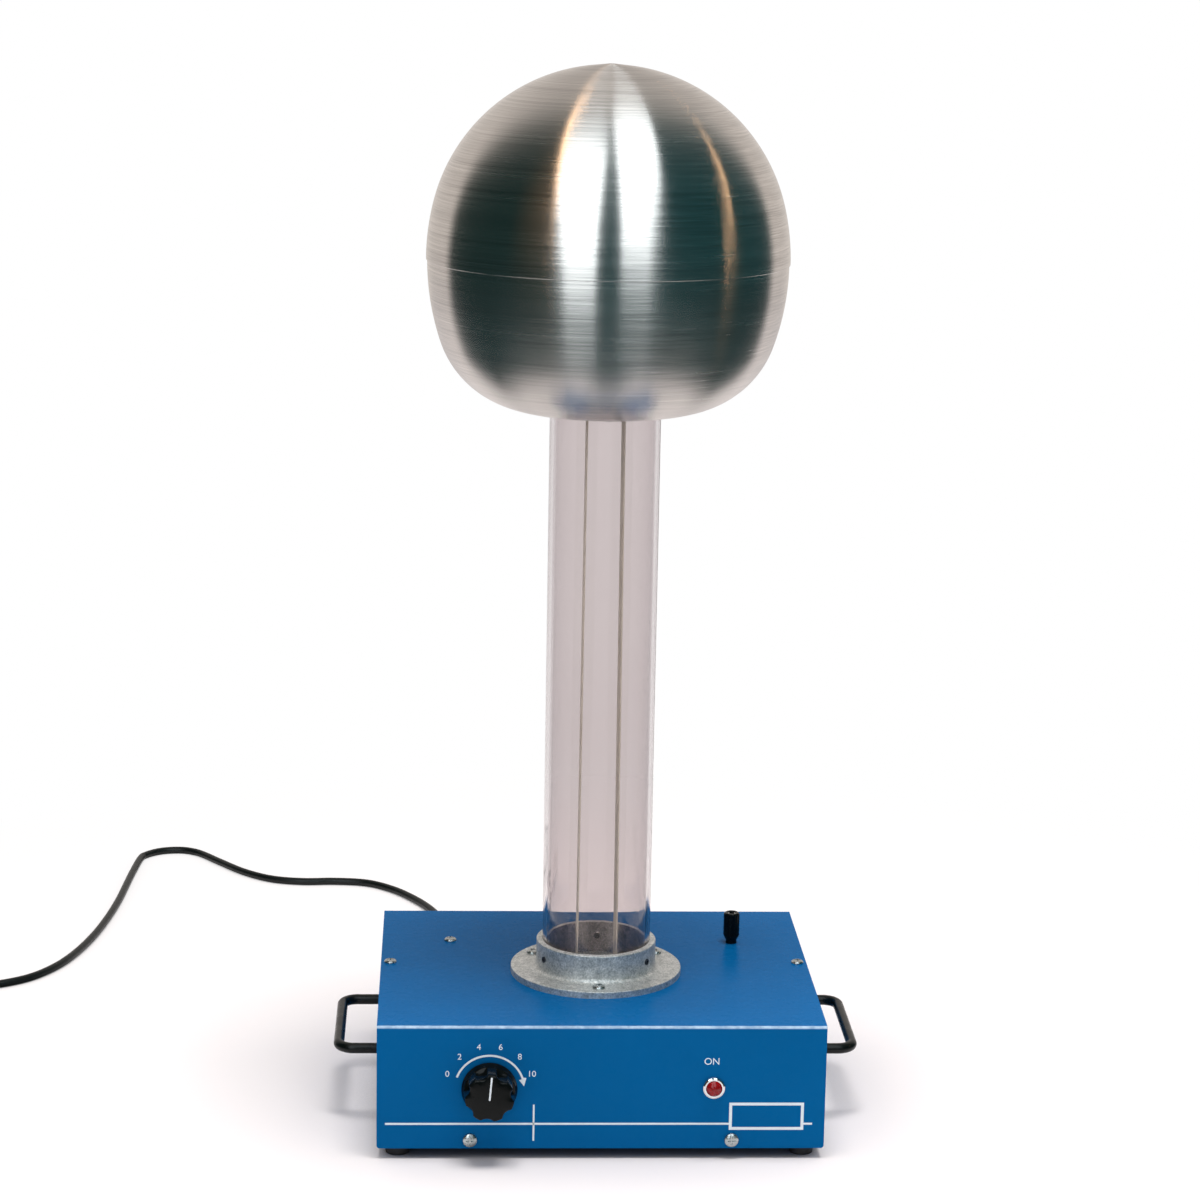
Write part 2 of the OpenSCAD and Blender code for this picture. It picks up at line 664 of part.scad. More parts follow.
comb_t = 0.8;
comb_w = 26;
comb_teeth = 9;
comb_screw_r = 1.5;
comb_z = idler_z - 12;
tooth_len = 4;
comb_clear = 1.5;         // from the teeth to the belt
comb_tab_w = 14;
comb_tab_x = sqrt(pow(tube_in_r, 2) - pow(comb_tab_w / 2, 2)) - touch;

module comb_teeth_row(tip_x) {
    for (i = [0:comb_teeth - 1])
        translate([-tip_x - tooth_len, (i - (comb_teeth - 1) / 2) * comb_w / comb_teeth, 0])
            rotate([0, 90, 0]) cylinder(r = 0.4, h = tooth_len, $fn = 16);
}

module upper_comb() {
    tip_x = idler_r + belt_gap + belt_t + comb_clear;
    color("#b8883a") at_column(comb_z) difference() {
        union() {
            translate([-comb_tab_x, -comb_tab_w / 2, -6]) cube([comb_t, comb_tab_w, 18]);
            translate([-comb_tab_x, -comb_tab_w / 2, 12 - comb_t])
                cube([comb_tab_x - tip_x - tooth_len, comb_tab_w, comb_t]);
            translate([-tip_x - tooth_len - 4, -comb_w / 2, 12 - comb_t]) cube([4, comb_w, comb_t]);
            translate([0, 0, 12 - comb_t / 2]) comb_teeth_row(tip_x);
        }
        translate([-tube_r, 0, 0]) rotate([0, 90, 0]) cylinder(r = comb_screw_r + touch, h = 2 * tube_wall + 6);
    }
}

module lower_comb() {
    tip_x = drive_r + belt_gap + belt_t + comb_clear;
    stand_x = tip_x + tooth_len + 12;
    color("#b8883a") translate([0, column_y, 0]) difference() {
        union() {
            translate([-stand_x - 12, -8, floor_z]) cube([12 + comb_t, 16, comb_t]);
            translate([-stand_x, -8, floor_z]) cube([comb_t, 16, drive_z - floor_z]);
            translate([-stand_x, -8, drive_z - comb_t]) cube([12, 16, comb_t]);
            translate([-tip_x - tooth_len - 4, -comb_w / 2, drive_z - comb_t]) cube([4, comb_w, comb_t]);
            translate([0, 0, drive_z - comb_t / 2]) comb_teeth_row(tip_x);
        }
        translate([-stand_x - 6, 0, floor_z - 1]) cylinder(r = comb_screw_r + touch, h = 4);
    }
}

function lower_comb_screw_x() = -(drive_r + belt_gap + belt_t + comb_clear + tooth_len + 12 + 6);

module comb_screws() {
    color("silver") {
        at_column(comb_z) translate([-tube_r, 0, 0]) rotate([0, -90, 0])
            pan_screw(2 * comb_screw_r, tube_wall + 5, 4 * comb_screw_r, 1.2 * comb_screw_r);
        translate([lower_comb_screw_x(), column_y, floor_z + comb_t])
            pan_screw(2 * comb_screw_r, comb_t + sheet_t + 2, 4 * comb_screw_r, 1.2 * comb_screw_r);
    }
}

// ---------- terminal ----------

// Half of the upper shell's section, seen from outside, moved in by a distance
function upper_curve(inset) = concat(
    arc_points(side_cx, 0, upper_side_r - inset, 0, upper_side_angle, 6),
    arc_points(0, crown_cz, crown_r - inset, upper_side_angle, 90 - point_angle, 26, 1));

module terminal_upper_shell() {
    tip_z = crown_cz + crown_r / cos(point_angle);
    color("#b4b6b8") at_column(seam_z) rotate_extrude($fn = 96) polygon(concat(
        upper_curve(0), [[0, tip_z], [0, tip_z - shell_t / cos(point_angle)]],
        [for (i = [len(upper_curve(0)) - 1:-1:0]) upper_curve(shell_t)[i]]));
}

function lower_curve(inset) = concat(
    arc_points(low_cx, 0, lower_side_r - inset, 0, -lower_side_angle, 8),
    arc_points(edge_cx, edge_cz, lower_edge_r - inset, -lower_side_angle, -90, 18, 1));

module terminal_lower_shell() {
    neck_r = tube_r + neck_gap;
    floor_y = edge_cz - lower_edge_r;
    lip = [[lip_r - shell_t, -3], [lip_r - shell_t, lip_h], [lip_r, lip_h], [lip_r, 0]];
    color("#b4b6b8") at_column(seam_z) difference() {
        rotate_extrude($fn = 96) polygon(concat(lip, lower_curve(0), [[neck_r, floor_y], [neck_r, floor_y + shell_t]],
            [for (i = [len(lower_curve(0)) - 1:-1:1]) lower_curve(shell_t)[i]]));
        for (a = flange_screw_angles) rotate([0, 0, a])
            translate([seat_screw_pcr, 0, floor_y - 1]) cylinder(r = seat_screw_d / 2 + touch, h = shell_t + 2);
    }
}

module seat_ring() {
    color("#9fa2a5") at_column(seat_z) difference() {
        ring(seat_ring_r, tube_r + touch, seat_ring_h);
        for (a = flange_screw_angles) rotate([0, 0, a])
            translate([seat_screw_pcr, 0, -1]) cylinder(r = seat_screw_d / 2 + touch, h = 9);
        for (a = collar_screw_angles) rotate([0, 0, a])
            translate([tube_r - 1, 0, seat_ring_h / 2]) rotate([0, 90, 0])
                cylinder(r = seat_screw_d / 2 + touch, h = seat_ring_r);
    }
}

module seat_ring_screws() {
    color("#3a3b3e") for (a = collar_screw_angles)
        at_column(seat_z + seat_ring_h / 2) rotate([0, 0, a]) translate([seat_ring_r - 1, 0, 0]) rotate([0, 90, 0])
            set_screw(seat_screw_d, seat_ring_r - 1 - tube_r - touch);
}

module seat_screws() {
    color("silver") for (a = flange_screw_angles)
        at_column(shell_floor_z) rotate([0, 0, a]) translate([seat_screw_pcr, 0, 0]) rotate([180, 0, 0])
            pan_screw(seat_screw_d, shell_t + 7.5, 2 * seat_screw_d, 0.6 * seat_screw_d);
}

// ---------- motor ----------

module at_motor(y) { translate([0, y, drive_z]) face_rear() children(); }
module at_motor_screws() {
    for (a = [45, 225]) at_motor(motor_front_y - bracket_t) rotate([0, 0, a])
        translate([motor_d / 2 - 7, 0, 0]) children();
}
// Screws that go down through the bracket's and the pedestal's feet into the chassis
module at_floor_screws(z) {
    for (s = [-1, 1]) {
        translate([s * (bracket_w / 2 - 8), motor_front_y + 9, z]) children();
        translate([s * 14, pedestal_y - 10, z]) children();
    }
    translate([lower_comb_screw_x(), column_y, z]) children();
}

module motor_housing() {
    color("#4a4d50") difference() {
        union() {
            at_motor(motor_front_y) cylinder(r = motor_d / 2, h = motor_len);
            at_motor(motor_front_y - boss_len) cylinder(r = boss_r, h = boss_len + 1);
        }
        at_motor(motor_front_y + 4) cylinder(r = stator_r, h = motor_len);
        at_motor(motor_front_y - boss_len - 1) cylinder(r = shaft_r + run_gap, h = motor_len);
        at_motor_screws() cylinder(r = screw_bite_r, h = bracket_t + 10);
        for (a = [45:45:135], s = [0, 180]) at_motor(motor_front_y + 40) rotate([0, 0, a + s])
            translate([motor_d / 2 - 5, -2.5, 0]) cube([10, 5, 12]);
        translate([-motor_d, brush_y, drive_z]) rotate([0, 90, 0]) cylinder(r = brush_tube_r + touch, h = 2 * motor_d);
    }
}

module motor_rear_cap() {
    color("#3c3f42") at_motor(motor_front_y + motor_len) difference() {
        union() {
            cylinder(r = motor_d / 2, h = 4);
            translate([0, 0, -3]) cylinder(r = stator_r - touch, h = 4);
            cylinder(r = boss_r, h = 9);
        }
        translate([0, 0, -4]) cylinder(r = shaft_r + run_gap, h = 20);
    }
}

module field_stack() {
    color("#777c80") at_motor(motor_front_y + 10) linear_extrude(26) difference() {
        circle(stator_r - touch);
        circle(armature_r + 0.6);
        for (s = [-1, 1]) translate([s * (armature_r + 0.3 + field_slot_d / 2) - field_slot_d / 2, -field_slot_w / 2])
            square([field_slot_d, field_slot_w]);
    }
}

module field_coils() {
    w = field_slot_w - 2 * touch;
    color("#b5652a") for (s = [-1, 1])
        translate([s * (armature_r + 0.9 + field_coil_d / 2) - field_coil_d / 2, motor_front_y + 6.5, drive_z - w / 2])
            cube([field_coil_d, 33, w]);
}

module motor_shaft() {
    start_y = pedestal_y - pedestal_t / 2 - 3;
    color("silver") at_motor(start_y) cylinder(r = shaft_r, h = motor_front_y + motor_len + 12 - start_y);
}

module armature() {
    slots = 12;
    color("#8a5a34") at_motor(motor_front_y + 9) difference() {
        cylinder(r = armature_r, h = 28);
        translate([0, 0, -1]) cylinder(r = shaft_r + touch, h = 40);
        for (i = [0:slots - 1]) rotate([0, 0, 360 * i / slots])
            translate([armature_r - 3, -0.8, -1]) cube([5, 1.6, 40]);
    }
}

module commutator() {
    color("#b87333") at_motor(brush_y - 6) ring(commutator_r, shaft_r + touch, 12);
}

// Each carbon brush slides in a tube that goes through the wall of the can
module carbon_brushes() {
    tip_x = commutator_r + 0.3;
    tube_x = commutator_r + 5;
    color("#2a2a2c") for (s = [0, 180]) translate([0, brush_y, drive_z]) rotate([0, s, 0]) {
        translate([tip_x, -3, -3]) cube([6, 6, 6]);
        translate([tube_x, 0, 0]) rotate([0, 90, 0]) cylinder(r = brush_tube_r, h = motor_d / 2 + 3 - tube_x);
    }
}

module motor_bracket() {
    color("#c4c7c9") difference() {
        union() {
            translate([-bracket_w / 2, motor_front_y - bracket_t, floor_z]) cube([bracket_w, bracket_t, shaft_rise + motor_d / 2]);
            translate([-bracket_w / 2, motor_front_y - bracket_t, floor_z]) cube([16, 20, bracket_t]);
            translate([bracket_w / 2 - 16, motor_front_y - bracket_t, floor_z]) cube([16, 20, bracket_t]);
        }
        at_motor(motor_front_y - bracket_t - 1) cylinder(r = boss_r + touch, h = bracket_t + 2);
        at_motor_screws() translate([0, 0, -1]) cylinder(r = screw_hole_r, h = bracket_t + 2);
        at_floor_screws(floor_z - 1) cylinder(r = screw_hole_r, h = bracket_t + 2);
    }
}

module motor_mount_screws() {
    color("silver") {
        at_motor_screws() rotate([180, 0, 0]) box_screw(bracket_t + 8);
        for (s = [-1, 1]) {
            translate([s * (bracket_w / 2 - 8), motor_front_y + 9, floor_z + bracket_t]) box_screw(bracket_t + 4);
            translate([s * 14, pedestal_y - 10, floor_z + foot_plate_t]) box_screw(foot_plate_t + 4);
        }
    }
}

module shaft_pedestal() {
    w = 26;
    color("#a9abad") translate([0, pedestal_y, 0]) difference() {
        union() {
            translate([0, pedestal_t / 2, floor_z]) face_front() linear_extrude(pedestal_t) {
                translate([-w / 2, 0]) square([w, shaft_rise]);
                translate([0, shaft_rise]) circle(w / 2);
            }
            translate([-21, -16, floor_z]) cube([42, 16 + pedestal_t / 2, foot_plate_t]);
        }
        translate([0, -pedestal_t, drive_z]) face_rear() cylinder(r = bush_r + touch, h = 2 * pedestal_t);
        for (s = [-1, 1]) translate([s * 14, -10, floor_z - 1]) cylinder(r = screw_hole_r, h = 6);
    }
}

module pedestal_bush() {
    color("#b08d57") translate([0, pedestal_y - pedestal_t / 2 - 1.5, drive_z]) face_rear() difference() {
        union() {
            cylinder(r = bush_r, h = pedestal_t + 1.5);
            cylinder(r = bush_r + 2, h = 1.5);
        }
        translate([0, 0, -1]) cylinder(r = shaft_r + run_gap, h = pedestal_t + 4);
    }
}

// ---------- front panel parts ----------

module speed_control_body() {
    color("#2b2d30") at_knob() difference() {
        union() {
            translate([0, 0, -sheet_t - control_len]) cylinder(r = 21, h = control_len);
            translate([0, 0, -sheet_t - 0.1]) cylinder(r = bush_d / 2, h = sheet_t + 4);
            for (a = [60, 90, 120]) rotate([0, 0, a]) translate([14, -2.5, -sheet_t - control_len - 8]) cube([0.8, 5, 9]);
        }
        translate([0, 0, -sheet_t - 20]) cylinder(r = control_shaft_r + run_gap, h = sheet_t + 30);
    }
}

module speed_control_nut() { color("silver") at_knob() hex_nut(nut_across, 2.4, bush_d / 2 + touch); }

module control_shaft() {
    color("silver") at_knob() translate([0, 0, -sheet_t - 18]) cylinder(r = control_shaft_r, h = sheet_t + 18 + knob_depth - 5.5);
}

module speed_knob() {
    skirt_r = knob_skirt_d / 2;
    lobe_r = knob_lobe_d / 2;
    body_z = 6.4;
    scallop_r = 7;
    scallop_depth = 2.2;
    color("#0d0e10") at_knob() rotate([0, 0, -knob_turn]) difference() {
        rotate_extrude() polygon([[0, knob_gap], [skirt_r, knob_gap], [skirt_r, knob_gap + 1.6],
            [lobe_r + 0.7, body_z - 0.5], [lobe_r, body_z], [lobe_r, knob_depth - 1.4],
            [lobe_r - 0.6, knob_depth - 0.4], [lobe_r - 1.6, knob_depth], [0, knob_depth]]);
        translate([0, 0, -1]) cylinder(r = nut_across / 2 / cos(30) + 1.2, h = 1 + knob_gap + 4.4);
        translate([0, 0, -1]) cylinder(r = control_shaft_r + touch, h = knob_depth - 4);
        for (i = [0:knob_lobes - 1]) rotate([0, 0, 90 + (i + 0.5) * 360 / knob_lobes])
            translate([lobe_r - scallop_depth + scallop_r, 0, body_z + 0.4]) cylinder(r = scallop_r, h = knob_depth);
        rotate([0, 0, -90]) translate([0, 0, 11]) rotate([0, 90, 0]) cylinder(r = 2 + touch, h = 30);
    }
}

module knob_set_screw() {
    color("#3a3b3e") at_knob() rotate([0, 0, -knob_turn - 90]) translate([control_shaft_r + 6, 0, 11])
        rotate([0, 90, 0]) set_screw(4, 6);
}

module lamp_bezel() {
    color("#c9ccd0") at_lamp() difference() {
        union() {
            rotate_extrude() polygon([[0, 0], [bezel_d / 2, 0], [bezel_d / 2, 0.8], [bezel_d / 2 - 0.5, 1.8],
                [bezel_d / 2 - 1.4, 2.4], [0, 2.4]]);
            translate([0, 0, -18]) cylinder(r = barrel_r, h = 18.5);
        }
        translate([0, 0, -16]) cylinder(r = lens_r + touch, h = 30);
    }
}

module lamp_lens() {
    dome_r = 1.15 * lens_r;
    dome_z = sqrt(dome_r * dome_r - lens_r * lens_r);
    color("#b3121a") at_lamp() union() {
        translate([0, 0, -14]) cylinder(r = lens_r, h = 16);
        translate([0, 0, 2]) rotate_extrude() polygon(concat([[0, -0.2], [lens_r, -0.2]],
            arc_points(0, -dome_z, dome_r, asin(dome_z / dome_r), 90, 8)));
    }
}

module lamp_nut() { color("silver") at_lamp() translate([0, 0, -sheet_t - 3]) hex_nut(2.6 * barrel_r, 3, barrel_r + touch); }

// ---------- binding post ----------

module ground_post_stud() {
    stud_z = top_z - sheet_t - 14;
    color("#c9ccd0") at_post(0) difference() {
        translate([0, 0, stud_z]) cylinder(r = post_stud_r, h = post_stud_top - stud_z);
        translate([0, 0, post_stud_top - socket_len]) cylinder(r = socket_d / 2, h = socket_len + 1);
    }
}

module ground_post_collar() {
    color("#101114") at_post(top_z - sheet_t - 3) difference() {
        union() {
            cylinder(r = post_cap_d / 2, h = 3);
            cylinder(r = post_collar_r, h = 3 + sheet_t + post_collar_h);
        }
        translate([0, 0, -1]) cylinder(r = post_stud_r + touch, h = 30);
    }
}

module ground_post_cap() {
    flutes = 12;
    r = post_cap_d / 2;
    color("#101114") at_post(top_z + post_collar_h) difference() {
        rotate_extrude() polygon([[0, 0], [r - 1.5, 0], [r, 3], [r, post_cap_h - 1], [r - 1, post_cap_h], [0, post_cap_h]]);
        translate([0, 0, -1]) cylinder(r = post_stud_r + run_gap, h = post_cap_h + 2);
        for (i = [0:flutes - 1]) rotate([0, 0, 360 * i / flutes])
            translate([r + 0.35, 0, 1]) cylinder(r = 0.9, h = post_cap_h, $fn = 16);
    }
}

module ground_post_nut() {
    color("silver") at_post(top_z - sheet_t - 3 - 3.2) hex_nut(9.5, 3.2, post_stud_r + touch);
}

// ---------- mains lead ----------

// The clip hangs from its screw under the top, with its loop round the inner lead
module lead_clip() {
    w = 10;
    tab_z = top_z - sheet_t;
    color("#e4e4e0") difference() {
        union() {
            translate([relief_x, clip_screw_y - w / 2, clip_z]) face_rear() cylinder(r = clip_loop_r, h = w);
            translate([clip_screw_x - 5.5, clip_screw_y - w / 2, tab_z - 1.5]) cube([relief_x - clip_screw_x + 5.5, w, 1.5]);
        }
        translate([relief_x, clip_screw_y - w, clip_z]) face_rear() cylinder(r = cord_r + touch, h = 2 * w);
        translate([clip_screw_x, clip_screw_y, tab_z - 3]) cylinder(r = screw_bite_r, h = 4);
    }
}

module inner_lead() { color("#15161a") round_sweep(inner_path, cord_r, cord_sides); }

module strain_relief() {
    color("#15161a") translate([relief_x, 0, relief_zz]) {
        translate([0, inner_y - 4, 0]) face_rear() cylinder(r = relief_hole_r + 2, h = 4);
        translate([0, inner_y - 1, 0]) face_rear() cylinder(r = relief_hole_r - touch, h = sheet_t + 2);
        translate([0, rear_y, 0]) face_rear() rotate_extrude() polygon([[0, 0], [relief_hole_r + 2.4, 0],
            [relief_hole_r + 2.4, 2.6], [relief_hole_r, 3.4], [cord_r + 1.2, relief_len], [0, relief_len]]);
    }
}

module power_cord() { color("#15161a") round_sweep(lead_path, cord_r, cord_sides); }

module cord_coil() { color("#15161a") round_sweep(coil_path, cord_r, coil_sides); }

// The plug lies on its flat side beside the coil
module plug_body() {
    r = 5;
    h = 2 * top_layer_z;
    color("#15161a") translate([plug_x, plug_face_y, top_layer_z]) face_rear() {
        linear_extrude(plug_len) {
            square([plug_w - 2 * r, h], center = true);
            square([plug_w, h - 2 * r], center = true);
            for (x = [-1, 1], y = [-1, 1]) translate([x * (plug_w / 2 - r), y * (h / 2 - r)]) circle(r);
        }
        translate([0, 0, plug_len - 0.1]) cylinder(r1 = 7, r2 = cord_r + 1, h = plug_tail + 0.1);
    }
}

module plug_pins() {
    blade = [6.35, 18.5, 1.5];
    blade_gap = 12.7;
    earth_side = 5.9;
    pin_r = 2.4;
    color("#c8a85a") translate([plug_x, plug_face_y, top_layer_z]) {
        for (s = [-1, 1]) translate([-earth_side - blade[0] / 2, -blade[1], s * blade_gap / 2 - blade[2] / 2]) cube(blade);
        translate([earth_side, 0, 0]) face_front() cylinder(r = pin_r, h = 21);
    }
}

base_cover();
base_chassis();
rubber_feet();
foot_screws();
left_handle();
right_handle();
handle_screws();
cover_screws();
top_screws();
tube_flange();
flange_screws();
flange_nuts();
collar_screws();
column_tube();
charge_belt();
seat_ring();
seat_ring_screws();
seat_screws();
terminal_lower_shell();
terminal_upper_shell();
upper_axle();
axle_spacers();
idler_roller();
idler_bearings();
upper_comb();
lower_comb();
comb_screws();
motor_housing();
motor_rear_cap();
field_stack();
field_coils();
carbon_brushes();
motor_bracket();
motor_mount_screws();
motor_shaft();
armature();
commutator();
drive_roller();
shaft_pedestal();
pedestal_bush();
speed_control_body();
speed_control_nut();
control_shaft();
speed_knob();
knob_set_screw();
lamp_bezel();
lamp_lens();
lamp_nut();
ground_post_stud();
ground_post_collar();
ground_post_cap();
ground_post_nut();
lead_clip();
inner_lead();
strain_relief();
power_cord();
cord_coil();
plug_body();
plug_pins();
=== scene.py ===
"""Studio scene of a belt-driven electrostatic generator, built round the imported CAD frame.

Metres, +Z up, front at -Y.
"""
import json
import math

import bmesh
import bpy
from mathutils import Matrix, Vector


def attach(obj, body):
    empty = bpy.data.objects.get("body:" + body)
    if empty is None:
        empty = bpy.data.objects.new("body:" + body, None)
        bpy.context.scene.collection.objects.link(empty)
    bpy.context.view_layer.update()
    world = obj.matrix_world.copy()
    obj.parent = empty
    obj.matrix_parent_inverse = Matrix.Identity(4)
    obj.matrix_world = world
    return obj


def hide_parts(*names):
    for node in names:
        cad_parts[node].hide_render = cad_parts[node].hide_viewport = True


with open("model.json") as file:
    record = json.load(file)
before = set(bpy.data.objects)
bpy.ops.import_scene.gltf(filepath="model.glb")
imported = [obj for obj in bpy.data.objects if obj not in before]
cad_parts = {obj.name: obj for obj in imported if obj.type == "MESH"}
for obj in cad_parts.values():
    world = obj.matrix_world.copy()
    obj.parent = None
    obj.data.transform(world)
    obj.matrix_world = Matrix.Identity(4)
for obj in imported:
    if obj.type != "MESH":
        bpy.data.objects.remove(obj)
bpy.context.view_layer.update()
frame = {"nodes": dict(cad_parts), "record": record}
NODES = frame["nodes"]
MM = 0.001

# ---------------------------------------------------------------- camera

YAW, PITCH, ROLL = math.radians(2.826), math.radians(12.323), math.radians(1.028)
forward = Vector((math.sin(YAW) * math.cos(PITCH), math.cos(YAW) * math.cos(PITCH), -math.sin(PITCH)))
flat_right = Vector((math.cos(YAW), -math.sin(YAW), 0))
flat_up = flat_right.cross(forward)
right = math.cos(ROLL) * flat_right + math.sin(ROLL) * flat_up
up = math.cos(ROLL) * flat_up - math.sin(ROLL) * flat_right

camera_data = bpy.data.cameras.new("camera")
camera_data.lens = 95.82
camera_data.sensor_width = 36
camera_data.clip_end = 60
camera = bpy.data.objects.new("camera", camera_data)
bpy.context.scene.collection.objects.link(camera)
turn = Matrix((right, up, -forward)).transposed().to_4x4()
camera.matrix_world = Matrix.Translation((-0.108, -2.169, 0.8362)) @ turn
bpy.context.scene.camera = camera
bpy.context.scene.view_settings.view_transform = "Standard"

# ---------------------------------------------------------------- materials


def rgb(code):
    """A hex colour as linear RGBA."""
    parts = [int(code[i:i + 2], 16) / 255 for i in (0, 2, 4)]
    return tuple(c / 12.92 if c <= 0.04045 else ((c + 0.055) / 1.055) ** 2.4 for c in parts) + (1.0,)


class Graph:
    """Adds linked nodes to a node tree by short calls."""

    def __init__(self, tree):
        self.tree = tree

    def add(self, kind, links=(), **values):
        node = self.tree.nodes.new(kind)
        for key, value in values.items():
            setattr(node, key, value)
        for socket, source in dict(links).items():
            self.feed(node.inputs[socket], source)
        return node

    def feed(self, socket, source):
        if isinstance(source, (int, float, tuple)):
            socket.default_value = source
        else:
            self.tree.links.new(source, socket)

    def math(self, operation, a, b=0.0):
        return self.add("ShaderNodeMath", {0: a, 1: b}, operation=operation).outputs[0]

    def span(self, value, low, high, to_low, to_high):
        links = {0: value, 1: low, 2: high, 3: to_low, 4: to_high}
        return self.add("ShaderNodeMapRange", links).outputs[0]

    def ramp(self, value, *stops):
        node = self.add("ShaderNodeValToRGB", {"Fac": value})
        band = node.color_ramp
        while len(band.elements) < len(stops):
            band.elements.new(0.5)
        for element, (at, colour) in zip(band.elements, stops):
            element.position = at
            element.color = colour
        return node.outputs["Color"]

    def mix(self, factor, a, b):
        node = self.add("ShaderNodeMix", data_type="RGBA")
        for index, source in ((0, factor), (6, a), (7, b)):
            self.feed(node.inputs[index], source)
        return node.outputs[2]

    def blend(self, factor, a, b):
        """Mixes two shaders."""
        return self.add("ShaderNodeMixShader", {0: factor, 1: a, 2: b}).outputs[0]


class Paint(Graph):
    """A material round one principled shader."""

    def __init__(self, name, **sockets):
        self.material = bpy.data.materials.new(name)
        self.material.use_nodes = True
        super().__init__(self.material.node_tree)
        self.shader = self.tree.nodes["Principled BSDF"]
        self.place = self.add("ShaderNodeTexCoord").outputs["Object"]
        for key, value in sockets.items():
            self.shader.inputs[key.replace("_", " ")].default_value = value

    def stretch(self, scale, source=None):
        node = self.add("ShaderNodeMapping", {"Vector": source or self.place, "Scale": scale})
        return node.outputs["Vector"]

    def noise(self, scale, detail=3.0, rough=0.5, source=None, distortion=0.0):
        links = {"Vector": source or self.place, "Scale": scale, "Detail": detail, "Roughness": rough,
                 "Distortion": distortion}
        return self.add("ShaderNodeTexNoise", links).outputs["Fac"]

    def cells(self, scale, source=None, **values):
        links = {"Vector": source or self.place, "Scale": scale}
        return self.add("ShaderNodeTexVoronoi", links, **values).outputs["Distance"]

    def bends(self):
        """0 on faces square to the axes and 1 along the rounded bends between them."""
        normal = self.add("ShaderNodeNewGeometry").outputs["Normal"]
        split = self.add("ShaderNodeSeparateXYZ", {0: normal}).outputs
        parts = [self.math("ABSOLUTE", part) for part in split]
        most = self.math("MAXIMUM", self.math("MAXIMUM", parts[0], parts[1]), parts[2])
        return self.span(most, 0.985, 0.9, 0.0, 1.0)

    def colour(self, source):
        self.tree.links.new(source, self.shader.inputs["Base Color"])
        return self

    def rough(self, source):
        self.tree.links.new(source, self.shader.inputs["Roughness"])
        return self

    def bump(self, *layers):
        """Each layer is (height, strength, distance in metres)."""
        normal = None
        for height, strength, distance in layers:
            links = {"Height": height, "Strength": strength, "Distance": distance}
            if normal:
                links["Normal"] = normal
            normal = self.add("ShaderNodeBump", links).outputs["Normal"]
        self.tree.links.new(normal, self.shader.inputs["Normal"])
        return self


def shade(code, factor):
    """A hex colour, lightened or darkened."""
    return tuple(min(1.0, c * factor) for c in rgb(code)[:3]) + (1.0,)


def mottled(name, code, low=0.9, high=1.1, scale=60.0, rough=(0.4, 0.5), grain=(900.0, 0.1, 0.0001),
            **sockets):
    """Colour and roughness that wander slowly, over a fine grain."""
    paint = Paint(name, **sockets)
    slow = paint.noise(scale, 4.0, 0.6)
    paint.colour(paint.ramp(slow, (0.3, shade(code, low)), (0.7, shade(code, high))))
    paint.rough(paint.span(paint.noise(scale * 2.3, 3.0), 0.3, 0.7, rough[0], rough[1]))
    paint.bump((paint.noise(grain[0], 2.0), grain[1], grain[2]))
    return paint.material


def turned(name, code, axis, rough=(0.23, 0.28), lines=1100.0, strength=0.13, low=0.68, high=1.12):
    """Metal turned or spun about an axis through the given point.

    Its fine rings draw each reflection out across them.
    """
    paint = Paint(name, Metallic=1.0, Anisotropic=1.0, Anisotropic_Rotation=0.25)
    centre = paint.add("ShaderNodeVectorMath", {0: paint.place, 1: axis}, operation="SUBTRACT")
    parts = paint.add("ShaderNodeSeparateXYZ", {0: centre.outputs["Vector"]}).outputs
    radius = paint.math("SQRT", paint.math("ADD", paint.math("MULTIPLY", parts[0], parts[0]),
                                           paint.math("MULTIPLY", parts[1], parts[1])))
    drift = paint.math("MULTIPLY", paint.math("ADD", parts[0], parts[1]), 0.015)
    ring = paint.add("ShaderNodeCombineXYZ", {0: radius, 1: parts[2], 2: drift}).outputs[0]
    fine = paint.noise(lines, 2.0, 0.6, ring)
    broad = paint.noise(lines / 8, 2.0, 0.5, ring)
    cloud = paint.noise(14.0, 3.0, 0.6)
    tone = paint.math("ADD", paint.math("MULTIPLY", fine, 0.7), paint.math("MULTIPLY", broad, 0.3))
    paint.colour(paint.ramp(tone, (0.3, shade(code, low)), (0.7, shade(code, high))))
    paint.rough(paint.span(paint.math("ADD", tone, paint.math("MULTIPLY", cloud, 0.4)), 0.45, 0.95, *rough))
    paint.bump((fine, strength, 0.0002))
    tangent = paint.add("ShaderNodeTangent", direction_type="RADIAL", axis="Z").outputs["Tangent"]
    paint.tree.links.new(tangent, paint.shader.inputs["Tangent"])
    return paint.material


COLUMN = (0.0, -0.0115, 0.0)
BLUE = "05609c"


def blue_enamel():
    paint = Paint("blue_enamel", IOR=1.45, Specular_IOR_Level=0.02)
    tint = paint.ramp(paint.noise(9.0, 3.0, 0.5), (0.3, shade(BLUE, 0.96)), (0.7, shade(BLUE, 1.05)))
    # Painted highlight: a pale blue mixed into the colour along the rounded bends, standing in for the light
    # the folds catch.
    thin = paint.math("MULTIPLY", paint.bends(), paint.span(paint.noise(180.0, 4.0), 0.35, 0.65, 0.5, 0.9))
    paint.colour(paint.mix(thin, tint, rgb("c4dcf0")))
    paint.rough(paint.span(paint.noise(120.0, 3.0), 0.3, 0.7, 0.24, 0.32))
    paint.bump((paint.noise(420.0, 2.0), 0.012, 0.0003), (paint.noise(1600.0, 1.0), 0.03, 0.00005))
    return paint.material


